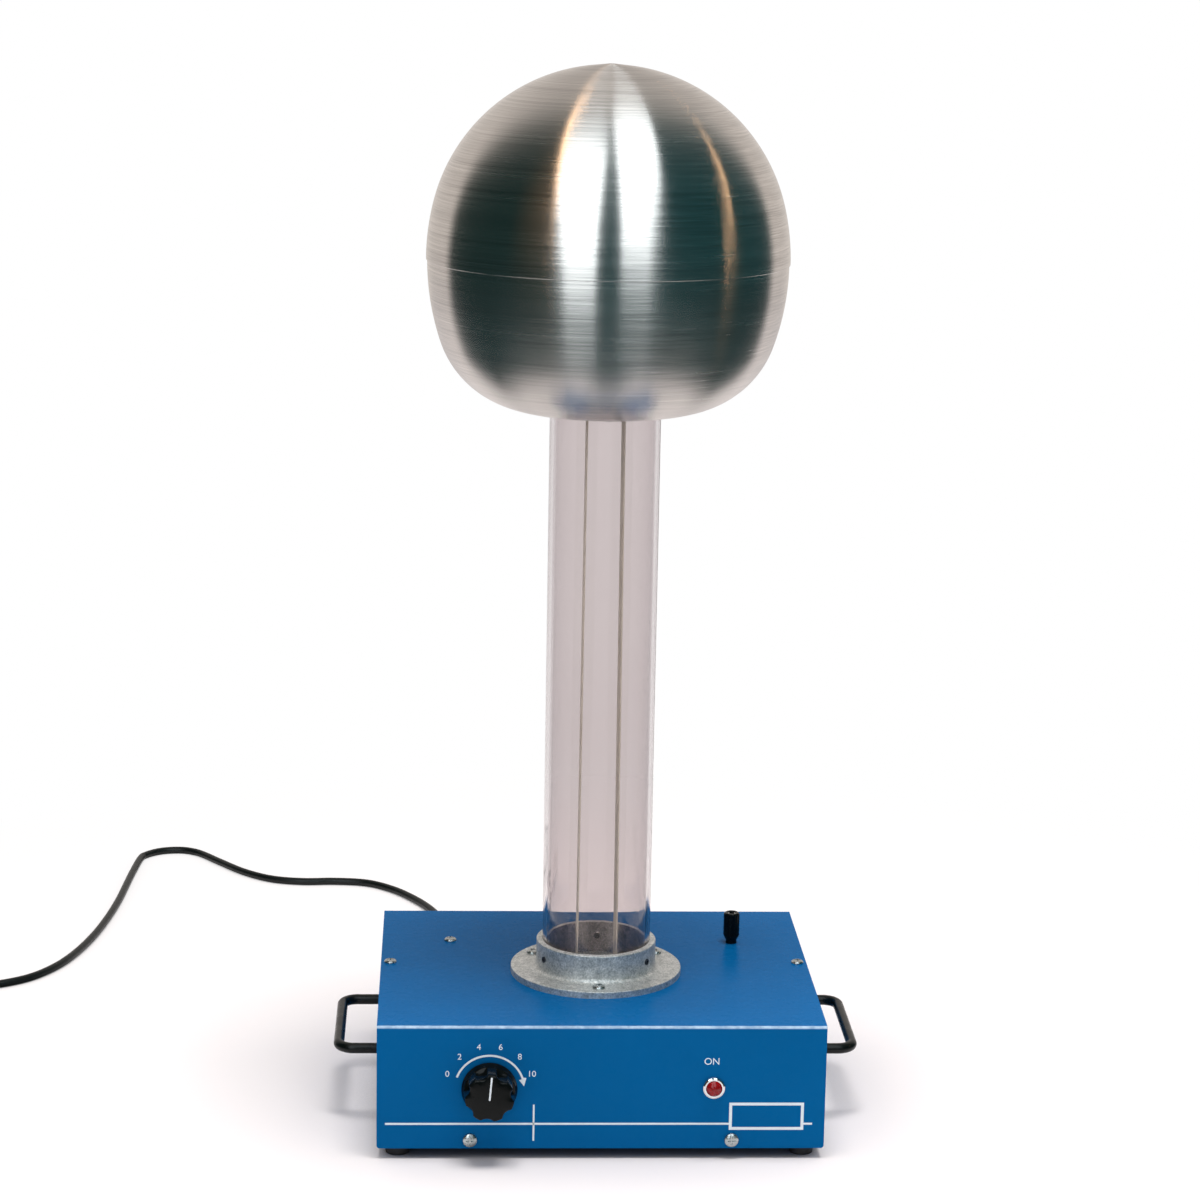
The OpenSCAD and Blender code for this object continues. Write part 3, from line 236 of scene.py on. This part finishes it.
def cast_metal():
    paint = Paint("cast_aluminium", Metallic=0.8)
    grains = paint.noise(700.0, 4.0, 0.7)
    pits = paint.cells(620.0)
    speckle = paint.math("ADD", paint.math("MULTIPLY", paint.noise(160.0, 5.0, 0.7), 0.5),
                         paint.math("MULTIPLY", paint.noise(800.0, 2.0, 0.6), 0.5))
    paint.colour(paint.ramp(speckle, (0.36, rgb("9c9f9e")), (0.52, rgb("d0d1cf")), (0.66, rgb("f4f3f0"))))
    paint.rough(paint.span(grains, 0.3, 0.7, 0.42, 0.62))
    paint.bump((grains, 0.6, 0.0003), (pits, 0.4, 0.0003))
    return paint.material


def acrylic():
    paint = Paint("clear_acrylic", Transmission_Weight=1.0, IOR=1.49)
    middle = paint.ramp(paint.noise(5.0), (0.2, rgb("e3dcdc")), (0.8, rgb("e8e2e2")))
    facing = paint.add("ShaderNodeLayerWeight", {"Blend": 0.5}).outputs["Facing"]
    paint.colour(paint.mix(paint.span(facing, 0.15, 0.9, 0.0, 1.0), middle, rgb("cdc5c6")))
    paint.rough(paint.span(paint.noise(40.0, 5.0), 0.3, 0.8, 0.0, 0.03))
    return paint.material


def lens_red():
    paint = Paint("red_lens", Transmission_Weight=0.2, IOR=1.45)
    paint.colour(paint.ramp(paint.noise(300.0, 2.0), (0.3, rgb("8c0a10")), (0.7, rgb("ac1016"))))
    paint.rough(paint.span(paint.noise(500.0), 0.3, 0.7, 0.12, 0.2))
    return paint.material


def belt_cloth():
    paint = Paint("belt_rubber", Sheen_Weight=0.2)
    weave = paint.noise(1.0, 2.0, 0.5, paint.stretch((900.0, 1500.0, 900.0)))
    paint.colour(paint.ramp(paint.noise(70.0, 4.0), (0.3, rgb("c9c0ae")), (0.7, rgb("d6cebd"))))
    paint.rough(paint.span(weave, 0.3, 0.7, 0.55, 0.75))
    paint.bump((weave, 0.25, 0.0001))
    return paint.material


FINISHES = {
    "blue_paint": blue_enamel(),
    "rubber": mottled("rubber", "1a1a1c", rough=(0.6, 0.8), grain=(1500.0, 0.25, 0.0002)),
    "black_paint": mottled("black_paint", "060d0c", rough=(0.26, 0.36), grain=(900.0, 0.08, 0.0002),
                           Specular_IOR_Level=0.25),
    "plated_steel": mottled("plated_steel", "b6bbbb", 0.85, 1.08, 220.0, (0.2, 0.34), (1800.0, 0.1, 0.00005),
                            Metallic=1.0),
    "cast_aluminium": cast_metal(),
    "dark_steel": mottled("dark_steel", "4a4b4e", 0.8, 1.2, 300.0, (0.35, 0.5), (1500.0, 0.2, 0.0001),
                          Metallic=1.0),
    "clear_acrylic": acrylic(),
    "belt_rubber": belt_cloth(),
    "spun_aluminium": turned("spun_aluminium", "dad5d0", COLUMN),
    "machined_aluminium": turned("machined_aluminium", "b9bcc0", COLUMN, (0.3, 0.42), 1800.0, 0.3),
    "ground_steel": mottled("ground_steel", "b5b8bb", 0.9, 1.05, 400.0, (0.15, 0.28), (2400.0, 0.1, 0.00005),
                            Metallic=1.0),
    "white_nylon": mottled("white_nylon", "e8e6e0", 0.95, 1.03, 80.0, (0.4, 0.55), (1400.0, 0.1, 0.0001),
                           Subsurface_Weight=0.1, Subsurface_Scale=0.002),
    "brass": mottled("brass", "c7a25a", 0.85, 1.08, 260.0, (0.22, 0.36), (1500.0, 0.12, 0.0001),
                     Metallic=1.0),
    "motor_paint": mottled("motor_paint", "4c4f53", 0.9, 1.1, 90.0, (0.4, 0.5), (900.0, 0.2, 0.0002),
                           Coat_Weight=0.2),
    "lamination_steel": mottled("lamination_steel", "7c8185", 0.8, 1.1, 500.0, (0.4, 0.6),
                                (2200.0, 0.4, 0.0002), Metallic=1.0),
    "copper": mottled("copper", "b86a3c", 0.8, 1.15, 400.0, (0.25, 0.4), (2500.0, 0.4, 0.0002), Metallic=1.0),
    "carbon": mottled("carbon", "252628", 0.8, 1.2, 400.0, (0.5, 0.7), (1800.0, 0.3, 0.0001)),
    "bronze": mottled("bronze", "ae8a50", 0.85, 1.1, 260.0, (0.3, 0.45), (1500.0, 0.2, 0.0001), Metallic=1.0),
    "black_phenolic": mottled("black_phenolic", "090d0d", 0.85, 1.2, 120.0, (0.12, 0.2),
                              (700.0, 0.03, 0.0002), Specular_IOR_Level=0.15),
    "chrome": mottled("chrome", "d8dadc", 0.95, 1.03, 200.0, (0.05, 0.12), (1500.0, 0.04, 0.00005),
                      Metallic=1.0),
    "red_lens": lens_red(),
    "cord_jacket": mottled("cord_jacket", "070e0d", 0.9, 1.15, 150.0, (0.34, 0.44), (1200.0, 0.12, 0.0001),
                           Specular_IOR_Level=0.3),
    "moulded_rubber": mottled("moulded_rubber", "161719", 0.9, 1.15, 150.0, (0.45, 0.6),
                              (1400.0, 0.2, 0.0002)),
}
WHITE_INK = mottled("white_ink", "e8f3fa", 0.95, 1.0, 300.0, (0.45, 0.6), (1600.0, 0.1, 0.00005))

slots = {part["node"]: part["material_slot"] for part in frame["record"]["subparts"]}


def dress(obj, material):
    obj.data.materials.clear()
    obj.data.materials.append(material)


for node, obj in NODES.items():
    dress(obj, FINISHES[slots[node]])
NODES["column_tube"].visible_shadow = False  # clear acrylic lets the light in

# ---------------------------------------------------------------- places taken from the frame


def box_of(node):
    """The lowest and highest corner of a CAD node."""
    corners = [NODES[node].matrix_world @ Vector(corner) for corner in NODES[node].bound_box]
    return [Vector([choose(c[i] for c in corners) for i in range(3)]) for choose in (min, max)]


def joint_at(name):
    joints = frame["record"]["behaviour"]["joints"]
    return Vector(next(joint["pos_m"] for joint in joints if joint["name"] == name))


FRONT_Y = box_of("base_cover")[0].y
SEAM_Z = box_of("terminal_upper_shell")[0].z
BOX_Z = box_of("base_cover")[0].z
KNOB = joint_at("speed_turn")

# ---------------------------------------------------------------- mesh helpers


def add_object(name, data, body, material=None):
    obj = bpy.data.objects.new(name, data)
    bpy.context.scene.collection.objects.link(obj)
    if material:
        dress(obj, material)
    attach(obj, body)
    return obj


def mesh_piece(name, verts, faces, body, material, sharp=35.0):
    data = bpy.data.meshes.new(name)
    data.from_pydata([tuple(v) for v in verts], [], faces)
    work = bmesh.new()
    work.from_mesh(data)
    bmesh.ops.recalc_face_normals(work, faces=work.faces)
    work.to_mesh(data)
    work.free()
    data.polygons.foreach_set("use_smooth", [True] * len(data.polygons))
    data.set_sharp_from_angle(angle=math.radians(sharp))
    return add_object(name, data, body, material)


def revolve(profile, steps, place=lambda r, a, z: (r * math.cos(a), r * math.sin(a), z)):
    """Vertices and faces of a closed profile of (radius, height) turned about an axis.

    A radius of 0 becomes one point.
    """
    verts, rings, faces = [], [], []
    for r, z in profile:
        if r < 1e-9:
            rings.append([len(verts)] * steps)
            verts.append(place(0.0, 0.0, z))
        else:
            rings.append(list(range(len(verts), len(verts) + steps)))
            verts += [place(r, 2 * math.pi * k / steps, z) for k in range(steps)]
    for a, b in zip(rings, rings[1:] + rings[:1]):
        if a[0] == a[1] and b[0] == b[1]:
            continue
        for k in range(steps):
            n = (k + 1) % steps
            corner = [a[k], a[n], b[n], b[k]]
            faces.append([v for i, v in enumerate(corner) if v not in corner[:i]])
    return verts, faces


def arc(cx, cz, r, start, end, count, first=0):
    points = []
    for i in range(first, count + 1):
        angle = math.radians(start + (end - start) * i / count)
        points.append((cx + r * math.cos(angle), cz + r * math.sin(angle)))
    return points


# ---------------------------------------------------------------- mains lead

CORD_R = 0.0031
LEAD_START = (-0.095, 0.151, 0.0682)
ROUTE = [
    LEAD_START, (-0.095, 0.158, 0.068), (-0.095, 0.171, 0.068), (-0.095, 0.189, 0.065),
    (-0.095, 0.207, 0.056), (-0.095, 0.225, 0.037), (-0.095, 0.243, 0.017), (-0.096, 0.261, 0.008),
    (-0.097, 0.290, 0.003), (-0.099, 0.320, 0.003), (-0.103, 0.350, 0.003), (-0.110, 0.385, 0.003),
    (-0.120, 0.415, 0.003), (-0.133, 0.441, 0.003), (-0.151, 0.467, 0.003), (-0.174, 0.486, 0.003),
    (-0.202, 0.491, 0.003), (-0.230, 0.490, 0.003), (-0.257, 0.497, 0.003), (-0.282, 0.517, 0.003),
    (-0.305, 0.546, 0.003), (-0.322, 0.569, 0.003), (-0.332, 0.578, 0.003), (-0.342, 0.582, 0.003),
    (-0.354, 0.581, 0.003), (-0.364, 0.576, 0.003), (-0.372, 0.567, 0.003), (-0.376, 0.556, 0.003),
    (-0.379, 0.515, 0.003), (-0.381, 0.475, 0.003), (-0.383, 0.435, 0.003), (-0.387, 0.390, 0.003),
    (-0.393, 0.345, 0.003), (-0.402, 0.302, 0.003), (-0.414, 0.266, 0.003), (-0.432, 0.237, 0.003),
    (-0.456, 0.220, 0.003), (-0.481, 0.213, 0.003), (-0.502, 0.213, 0.003), (-0.522, 0.213, 0.003),
]
COIL_STEP, COIL_TURNS, COIL_INNER = 0.0068, 3.25, 0.031
PLUG_LEAD = 0.02
COIL_HALF = COIL_TURNS / 2
COIL_CENTRE = (ROUTE[-1][0] - 2 * CORD_R, ROUTE[-1][1] - COIL_INNER - COIL_HALF * COIL_STEP)


def smooth_path(points, steps):
    """A Catmull-Rom curve through the points."""
    pts = [Vector(p) for p in points]
    pts = [2 * pts[0] - pts[1]] + pts + [2 * pts[-1] - pts[-2]]
    out = []
    for a, b, c, d in zip(pts, pts[1:], pts[2:], pts[3:]):
        for k in range(steps):
            t = k / steps
            out.append(0.5 * (2 * b + (c - a) * t + (2 * a - 5 * b + 4 * c - d) * t * t
                              + (3 * b - a - 3 * c + d) * t ** 3))
    out.append(pts[-2])
    return out


def coil_point(turn):
    """Turn counts from the middle of the coil, where the spiral reverses and climbs one layer."""
    radius = COIL_INNER + COIL_STEP * abs(turn)
    angle = math.radians(90 + 360 * (turn + COIL_HALF))
    glow_dimmed_by_painted_shade = max(0.0, min(1.0, 2 * turn + 0.5))
    return Vector((COIL_CENTRE[0] + radius * math.cos(angle), COIL_CENTRE[1] + radius * math.sin(angle),
                   CORD_R + COIL_STEP * glow_dimmed_by_painted_shade))


lead = [Vector((p.x, p.y, max(p.z, CORD_R))) for p in smooth_path(ROUTE, 8)]
coil_count = round(COIL_TURNS * 72)
coil = [coil_point(-COIL_HALF + COIL_TURNS * i / coil_count) for i in range(coil_count + 1)]
cord_path = lead + coil + [coil[-1] - Vector((0, d, 0)) for d in (PLUG_LEAD / 2, PLUG_LEAD)]

cord_curve = bpy.data.curves.new("mains_lead", "CURVE")
cord_curve.dimensions = "3D"
cord_curve.bevel_depth = CORD_R
cord_curve.bevel_resolution = 5
cord_curve.use_fill_caps = True
line = cord_curve.splines.new("POLY")
line.points.add(len(cord_path) - 1)
for point, place in zip(line.points, cord_path):
    point.co = (*place, 1.0)
line.use_smooth = True
mains_lead = add_object("mains_lead", cord_curve, "base", FINISHES["cord_jacket"])
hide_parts("power_cord", "cord_coil")

# ---------------------------------------------------------------- terminal

TERMINAL_R, SHELL_T, RIM_STEP = 123.2, 1.2, 0.8
# Radius of each arc in mm, and the degrees it turns through
UPPER_SIDE_R, UPPER_SIDE_TURN = 160, 14.3
LOWER_SIDE_R, LOWER_SIDE_TURN = 171.5, 18.9
LOWER_EDGE_R, POINT_R, NECK_R = 67.4, 14, 38.4
LIP_GAP, LIP_H, LIP_DROP = 0.4, 10, 3


def at_column(points, z):
    return [(r * MM, h * MM + z) for r, h in points]


def column_place(r, a, z):
    return (r * math.cos(a), COLUMN[1] + r * math.sin(a), z)


side_cx = TERMINAL_R - UPPER_SIDE_R
crown_r = UPPER_SIDE_R + side_cx / math.cos(math.radians(UPPER_SIDE_TURN))
crown_cz = (UPPER_SIDE_R - crown_r) * math.sin(math.radians(UPPER_SIDE_TURN))
point_angle = math.degrees(math.asin(POINT_R / crown_r))


def upper_curve(inset, first):
    points = arc(side_cx, 0, UPPER_SIDE_R - inset, 0, UPPER_SIDE_TURN, 12, first)
    points += arc(0, crown_cz, crown_r - inset, UPPER_SIDE_TURN, 90 - point_angle, 70, 1)
    return points


tip = crown_cz + crown_r / math.cos(math.radians(point_angle))
inner_tip = tip - SHELL_T / math.cos(math.radians(point_angle))
rim = [(TERMINAL_R - SHELL_T, 0.4), (TERMINAL_R - SHELL_T + 0.35, 0.05), (TERMINAL_R - 0.35, 0.05),
       (TERMINAL_R - 0.05, 0.4)]
upper_profile = rim + upper_curve(0, 1) + [(1.5, tip - 0.25), (0, tip - 0.3), (0, inner_tip)]
upper_profile += list(reversed(upper_curve(SHELL_T, 1)))
upper_shell = mesh_piece("terminal_crown", *revolve(at_column(upper_profile, SEAM_Z), 288, column_place),
                         "terminal_top", FINISHES["spun_aluminium"], 40)
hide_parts("terminal_upper_shell")

lower_r = TERMINAL_R - RIM_STEP
low_cx = lower_r - LOWER_SIDE_R
edge_cx = low_cx + (LOWER_SIDE_R - LOWER_EDGE_R) * math.cos(math.radians(LOWER_SIDE_TURN))
edge_cz = -(LOWER_SIDE_R - LOWER_EDGE_R) * math.sin(math.radians(LOWER_SIDE_TURN))
shell_floor = edge_cz - LOWER_EDGE_R


def lower_curve(inset, first=0):
    points = arc(low_cx, 0, LOWER_SIDE_R - inset, 0, -LOWER_SIDE_TURN, 16, first)
    points += arc(edge_cx, edge_cz, LOWER_EDGE_R - inset, -LOWER_SIDE_TURN, -90, 44, 1)
    return points


lip_r = TERMINAL_R - SHELL_T - LIP_GAP
lip = [(lip_r - SHELL_T, -LIP_DROP), (lip_r - SHELL_T, LIP_H), (lip_r, LIP_H), (lip_r, 0)]
lower_profile = lip + lower_curve(0) + [(NECK_R, shell_floor), (NECK_R, shell_floor + SHELL_T)]
lower_profile += list(reversed(lower_curve(SHELL_T, 1)))
lower_shell = mesh_piece("terminal_bowl", *revolve(at_column(lower_profile, SEAM_Z), 288, column_place),
                         "base", FINISHES["spun_aluminium"], 40)
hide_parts("terminal_lower_shell")

# ---------------------------------------------------------------- speed knob

KNOB_TURN = math.radians(5)
KNOB_LOBES = 7
LOBE_R, SCALLOP_R, SCALLOP_DEPTH = 17.0, 7.0, 2.2


def lobe_radius(angle, top_r):
    """Radius of the grip at an angle from its upright lobe: lobes between round scallops."""
    pitch = 2 * math.pi / KNOB_LOBES
    off = (angle + pitch / 2) % pitch - pitch / 2
    off = pitch / 2 - abs(off)
    centre = LOBE_R - SCALLOP_DEPTH + SCALLOP_R
    reach = SCALLOP_R ** 2 - (centre * math.sin(off)) ** 2
    if reach <= 0:
        return top_r
    cut = centre * math.cos(off) - math.sqrt(reach)
    soft = 0.5
    h = max(0.0, min(1.0, 0.5 + 0.5 * (top_r - cut) / soft))
    return top_r * (1 - h) + cut * h - soft * h * (1 - h)


def knob_mesh():
    """Rings from the back of the skirt to the top's middle, as (radius, depth, share of the scallops)."""
    rings = [(0.05, 1.0, 0), (9.9, 1.0, 0), (10.0, 0.8, 0), (18.5, 0.8, 0), (18.9, 1.0, 0), (19, 1.3, 0),
             (19, 2.2, 0), (18.8, 2.6, 0), (17.9, 4.4, 0), (17.5, 5.5, 0), (17.15, 6.2, 0.1),
             (17.05, 6.6, 0.7), (17.0, 7.0, 1)]
    rings += [(17.0 - 0.02 * k, 7.0 + 1.2 * k, 1) for k in range(1, 9)]
    rings += [(16.8, 17.6, 1), (16.7, 18.6, 1), (16.4, 19.2, 1), (15.9, 19.65, 1), (15.2, 19.85, 1),
              (14.2, 19.95, 1), (11.0, 20.0, 0.75), (7.0, 20.0, 0.4), (3.0, 20.0, 0), (0.05, 20.0, 0)]
    steps = 210
    verts, faces = [], []
    for r, depth, share in rings:
        for k in range(steps):
            angle = 2 * math.pi * k / steps
            radius = r
            if share:
                radius = r - share * (LOBE_R - lobe_radius(angle, LOBE_R))
            turn = angle + KNOB_TURN
            verts.append(KNOB + Vector((radius * math.sin(turn), -depth, radius * math.cos(turn))) * MM)
    for i in range(len(rings) - 1):
        for k in range(steps):
            n = (k + 1) % steps
            faces.append([i * steps + k, i * steps + n, (i + 1) * steps + n, (i + 1) * steps + k])
    faces.append(list(range(steps)))
    faces.append(list(range((len(rings) - 1) * steps, len(rings) * steps)))
    return verts, faces


knob = mesh_piece("knob_grip", *knob_mesh(), "speed_control", FINISHES["black_phenolic"], 50)
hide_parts("speed_knob")

# ---------------------------------------------------------------- marks on the panel

INK = 0.00012
PLATE_X = (0.087, 0.138)
PLATE_Z = (BOX_Z + 0.0133, BOX_Z + 0.0329)
PLATE_BORDER = 0.002


def flat_mark(name, outline, body="base", depth=0.0, material=None, thick=INK):
    """A thin raised shape on the front panel from an outline of (x, z) points."""
    count = len(outline)
    y = FRONT_Y - depth
    verts = [(x, y + thick * 0.2, z) for x, z in outline] + [(x, y - thick, z) for x, z in outline]
    faces = [list(range(count)), list(range(count, 2 * count))]
    faces += [[k, (k + 1) % count, count + (k + 1) % count, count + k] for k in range(count)]
    return mesh_piece(name, verts, faces, body, material or WHITE_INK, 30)


def bar(x0, x1, z0, z1):
    return [(x0, z0), (x1, z0), (x1, z1), (x0, z1)]


RULE_Z = BOX_Z + 0.0177
flat_mark("panel_rule", bar(-0.1467, PLATE_X[0], RULE_Z - 0.0007, RULE_Z + 0.0007))
flat_mark("panel_rule_end", bar(PLATE_X[1], 0.1439, RULE_Z - 0.0007, RULE_Z + 0.0007))
flat_mark("panel_divider", bar(-0.0466, -0.0454, RULE_Z - 0.0122, RULE_Z + 0.0138))
for i, edge in enumerate((PLATE_Z[0], PLATE_Z[1] - PLATE_BORDER)):
    flat_mark("plate_long_edge_%d" % i, bar(*PLATE_X, edge, edge + PLATE_BORDER))
plate_inside = (PLATE_Z[0] + PLATE_BORDER, PLATE_Z[1] - PLATE_BORDER)
for i, edge in enumerate((PLATE_X[0], PLATE_X[1] - PLATE_BORDER)):
    flat_mark("plate_short_edge_%d" % i, bar(edge, edge + PLATE_BORDER, *plate_inside))


def dial_point(r, degrees):
    """A point round the knob, in mm and degrees clockwise from upright."""
    angle = math.radians(degrees)
    return (KNOB.x + r * MM * math.sin(angle), KNOB.z + r * MM * math.cos(angle))


sweep = [dial_point(24.2, a) for a in range(-70, 74, 3)] + [dial_point(26.1, 73)]
sweep += [dial_point(23.5, 86), dial_point(20.9, 73), dial_point(22.8, 73)]
sweep += [dial_point(22.8, a) for a in range(71, -71, -3)]
flat_mark("speed_sweep", sweep)


def number(name, text, x, z, size):
    """Plain numerals or letters as a thin raised mark."""
    font = bpy.data.curves.new(name, "FONT")
    font.body = text
    font.size = size
    font.align_x = "CENTER"
    font.align_y = "CENTER"
    font.extrude = INK
    obj = bpy.data.objects.new(name, font)
    bpy.context.scene.collection.objects.link(obj)
    obj.matrix_world = Matrix.Translation((x, FRONT_Y - INK * 0.2, z)) @ Matrix.Rotation(math.pi / 2, 4, "X")
    bpy.context.view_layer.update()
    data = bpy.data.meshes.new_from_object(obj)
    data.transform(obj.matrix_world)
    bpy.data.objects.remove(obj)
    return add_object(name, data, "base", WHITE_INK)


for i in range(0, 11, 2):
    x, z = dial_point(30.4, -70 + 14 * i)
    number("dial_mark_%d" % i, str(i), x, z, 0.006)
number("lamp_word", "ON", 0.0745, BOX_Z + 0.0623, 0.0068)

pointer = [(-0.6, -1.0), (0.6, -1.0), (0.6, 15.4), (-0.6, 15.4)]
pointer = [(KNOB.x + (x * math.cos(KNOB_TURN) + z * math.sin(KNOB_TURN)) * MM,
            KNOB.z + (z * math.cos(KNOB_TURN) - x * math.sin(KNOB_TURN)) * MM) for x, z in pointer]
flat_mark("knob_pointer", pointer, "speed_control", 0.02, WHITE_INK, 0.0001)

# ---------------------------------------------------------------- floor, world and lamps

WHITE = (1.0, 1.0, 1.0, 1.0)


def seen_white(graph):
    """1 on rays from the camera, straight or through glass: where the picture shows its white background."""
    ray = graph.add("ShaderNodeLightPath").outputs
    return graph.math("MAXIMUM", ray["Is Camera Ray"], ray["Is Transmission Ray"])


def azimuth_of(graph, x, y):
    """The angle round the object, 0 on the viewer's side and up to half a turn either way behind it."""
    return graph.math("ARCTAN2", x, graph.math("MULTIPLY", y, -1.0))


def stage_material():
    """Pale paper that keeps the object's shadow, with painted shade deepening it where the object hems the
    paper in, and turns to plain white further off.

    Gloss sees it end in a dark room on the viewer's side.
    """
    material = bpy.data.materials.new("studio_floor")
    material.use_nodes = True
    graph = Graph(material.node_tree)
    graph.tree.nodes.clear()
    place = graph.add("ShaderNodeTexCoord").outputs["Object"]
    along = graph.add("ShaderNodeSeparateXYZ", {0: place}).outputs
    distance = graph.add("ShaderNodeVectorMath", {0: place}, operation="LENGTH").outputs["Value"]
    open_sky = graph.add("ShaderNodeAmbientOcclusion", {"Distance": 0.16}, samples=8).outputs["AO"]
    # Painted shade: where the object hems the paper in, its glow fades and its colour darkens towards grey.
    glow_dimmed_by_painted_shade = graph.math("MULTIPLY", graph.math("POWER", open_sky, 2.0), 0.16)
    painted_shade_fade = graph.span(open_sky, 0.08, 0.4, 0.0, 1.0)
    paper_with_painted_shade = graph.mix(painted_shade_fade, (0.12, 0.12, 0.14, 1.0), (0.8, 0.755, 0.75, 1.0))
    paper = graph.add("ShaderNodeBsdfDiffuse", {"Color": paper_with_painted_shade}).outputs[0]
    glow = graph.add("ShaderNodeEmission", {"Color": (1.0, 0.94, 0.935, 1.0), "Strength": glow_dimmed_by_painted_shade}).outputs[0]
    near = graph.add("ShaderNodeAddShader", {0: paper, 1: glow}).outputs[0]
    plain_white = graph.add("ShaderNodeEmission", {"Color": WHITE, "Strength": 1.0}).outputs[0]
    dark_room = graph.add("ShaderNodeBsdfDiffuse", {"Color": (0.03, 0.055, 0.058, 1.0)}).outputs[0]
    picture = graph.blend(graph.span(distance, 0.3, 0.85, 0.0, 1.0), near, plain_white)
    angle = graph.math("ABSOLUTE", azimuth_of(graph, along[0], along[1]))
    front = graph.span(angle, math.radians(119), math.radians(127), 1.0, 0.0)
    reach = graph.span(angle, math.radians(8), math.radians(24), 0.18, 0.34)
    past = graph.span(graph.math("SUBTRACT", distance, reach), 0.0, 0.18, 0.0, 1.0)
    gloss = graph.add("ShaderNodeLightPath").outputs["Is Glossy Ray"]
    ends = graph.math("MULTIPLY", graph.math("MULTIPLY", front, past), gloss)
    bounced = graph.blend(ends, near, dark_room)
    result = graph.blend(seen_white(graph), bounced, picture)
    graph.add("ShaderNodeOutputMaterial", {"Surface": result})
    return material


floor_data = bpy.data.meshes.new("studio_floor")
floor_data.from_pydata([(-3.2, -1.3, 0), (3.2, -1.3, 0), (3.2, 3.4, 0), (-3.2, 3.4, 0)], [], [(0, 1, 2, 3)])
floor = bpy.data.objects.new("studio_floor", floor_data)
bpy.context.scene.collection.objects.link(floor)
dress(floor, stage_material())

# What gloss sees round the object, by degrees from the viewer's side: a dark room, and the backdrop
PAPER, DIM, DARK = (0.72, 0.67, 0.63), (0.006, 0.028, 0.026), (0.01, 0.06, 0.067)
PANORAMA = ((-180, PAPER), (-127, PAPER), (-119, DIM), (-60, DIM), (0, DARK), (119, DARK), (127, PAPER),
            (180, PAPER))
# A brownish band in it, above the table
BROWN, NONE = (0.12, 0.06, 0.026), (0.0, 0.0, 0.0)
BAND = ((-70, NONE), (-50, BROWN), (-38, BROWN), (-33, NONE))


def around(graph, azimuth, stops):
    """Colours by the angle round the object."""
    turn = graph.span(azimuth, -math.pi, math.pi, 0.0, 1.0)
    return graph.ramp(turn, *[((degrees + 180) / 360, (*colour, 1.0)) for degrees, colour in stops])


def studio_world():
    """White where it is looked at, soft for matt surfaces, and a dark room before a backdrop for gloss."""
    world = bpy.data.worlds.new("studio")
    world.use_nodes = True
    graph = Graph(world.node_tree)
    graph.tree.nodes.clear()
    gloss = graph.add("ShaderNodeLightPath").outputs["Is Glossy Ray"]
    direction = graph.add("ShaderNodeTexCoord").outputs["Generated"]
    towards = graph.add("ShaderNodeSeparateXYZ", {0: direction}).outputs
    azimuth = azimuth_of(graph, towards[0], towards[1])
    room = around(graph, azimuth, PANORAMA)
    above = graph.span(towards[2], -0.1, 0.45, 0.0, 1.0)
    band = graph.mix(above, (*NONE, 1.0), around(graph, azimuth, BAND))
    room = graph.add("ShaderNodeVectorMath", {0: room, 1: band}, operation="ADD").outputs[0]
    soft = graph.add("ShaderNodeBackground", {"Color": WHITE, "Strength": 0.5}).outputs[0]
    white = graph.add("ShaderNodeBackground", {"Color": WHITE, "Strength": 1.0}).outputs[0]
    mirrored = graph.add("ShaderNodeBackground", {"Color": room, "Strength": 1.0}).outputs[0]
    result = graph.blend(seen_white(graph), graph.blend(gloss, soft, mirrored), white)
    graph.add("ShaderNodeOutputWorld", {"Surface": result})
    return world


bpy.context.scene.world = studio_world()


TERMINAL = Vector((COLUMN[0], COLUMN[1], SEAM_Z))


def lamp(name, low, high, width, radiance, colour=(1.0, 1.0, 1.0)):
    """A long lamp between two points, turned to the terminal."""
    low, high = Vector(low), Vector(high)
    data = bpy.data.lights.new(name, "AREA")
    data.shape = "RECTANGLE"
    data.size, data.size_y = width, (high - low).length
    data.energy = radiance * math.pi * data.size * data.size_y
    data.color = colour
    obj = bpy.data.objects.new(name, data)
    bpy.context.scene.collection.objects.link(obj)
    middle = (low + high) / 2
    along = (high - low).normalized()
    across = along.cross(middle - TERMINAL).normalized()
    facing = Matrix((across, along, across.cross(along))).transposed().to_4x4()
    obj.matrix_world = Matrix.Translation(middle) @ facing
    obj.visible_camera = False
    return obj


# The two softboxes and the two warm lights draw the streaks on the metal.
# The overhead lamp lights the matt surfaces.
COOL_LIGHT, WARM_LIGHT = (0.88, 0.95, 1.0), (1.0, 0.62, 0.34)
for drawn in (lamp("softbox_left", (-0.86, -2.48, 0.30), (-0.40, -0.55, 2.45), 0.78, 3.0, COOL_LIGHT),
              lamp("softbox_right", (0.58, -2.50, 0.85), (0.34, 0.0, 2.80), 0.72, 3.0, COOL_LIGHT),
              lamp("warm_left", (-1.08, -1.35, 1.7), (-0.3, 0.9, 2.9), 0.028, 9.0, WARM_LIGHT),
              lamp("warm_right", (1.86, -0.60, 0.7), (1.48, 0.40, 2.15), 0.014, 12.0, WARM_LIGHT)):
    drawn.visible_diffuse = False
lamp("overhead", (0.1, -0.65, 2.4), (0.1, 0.15, 2.4), 1.1, 18.5).visible_glossy = False
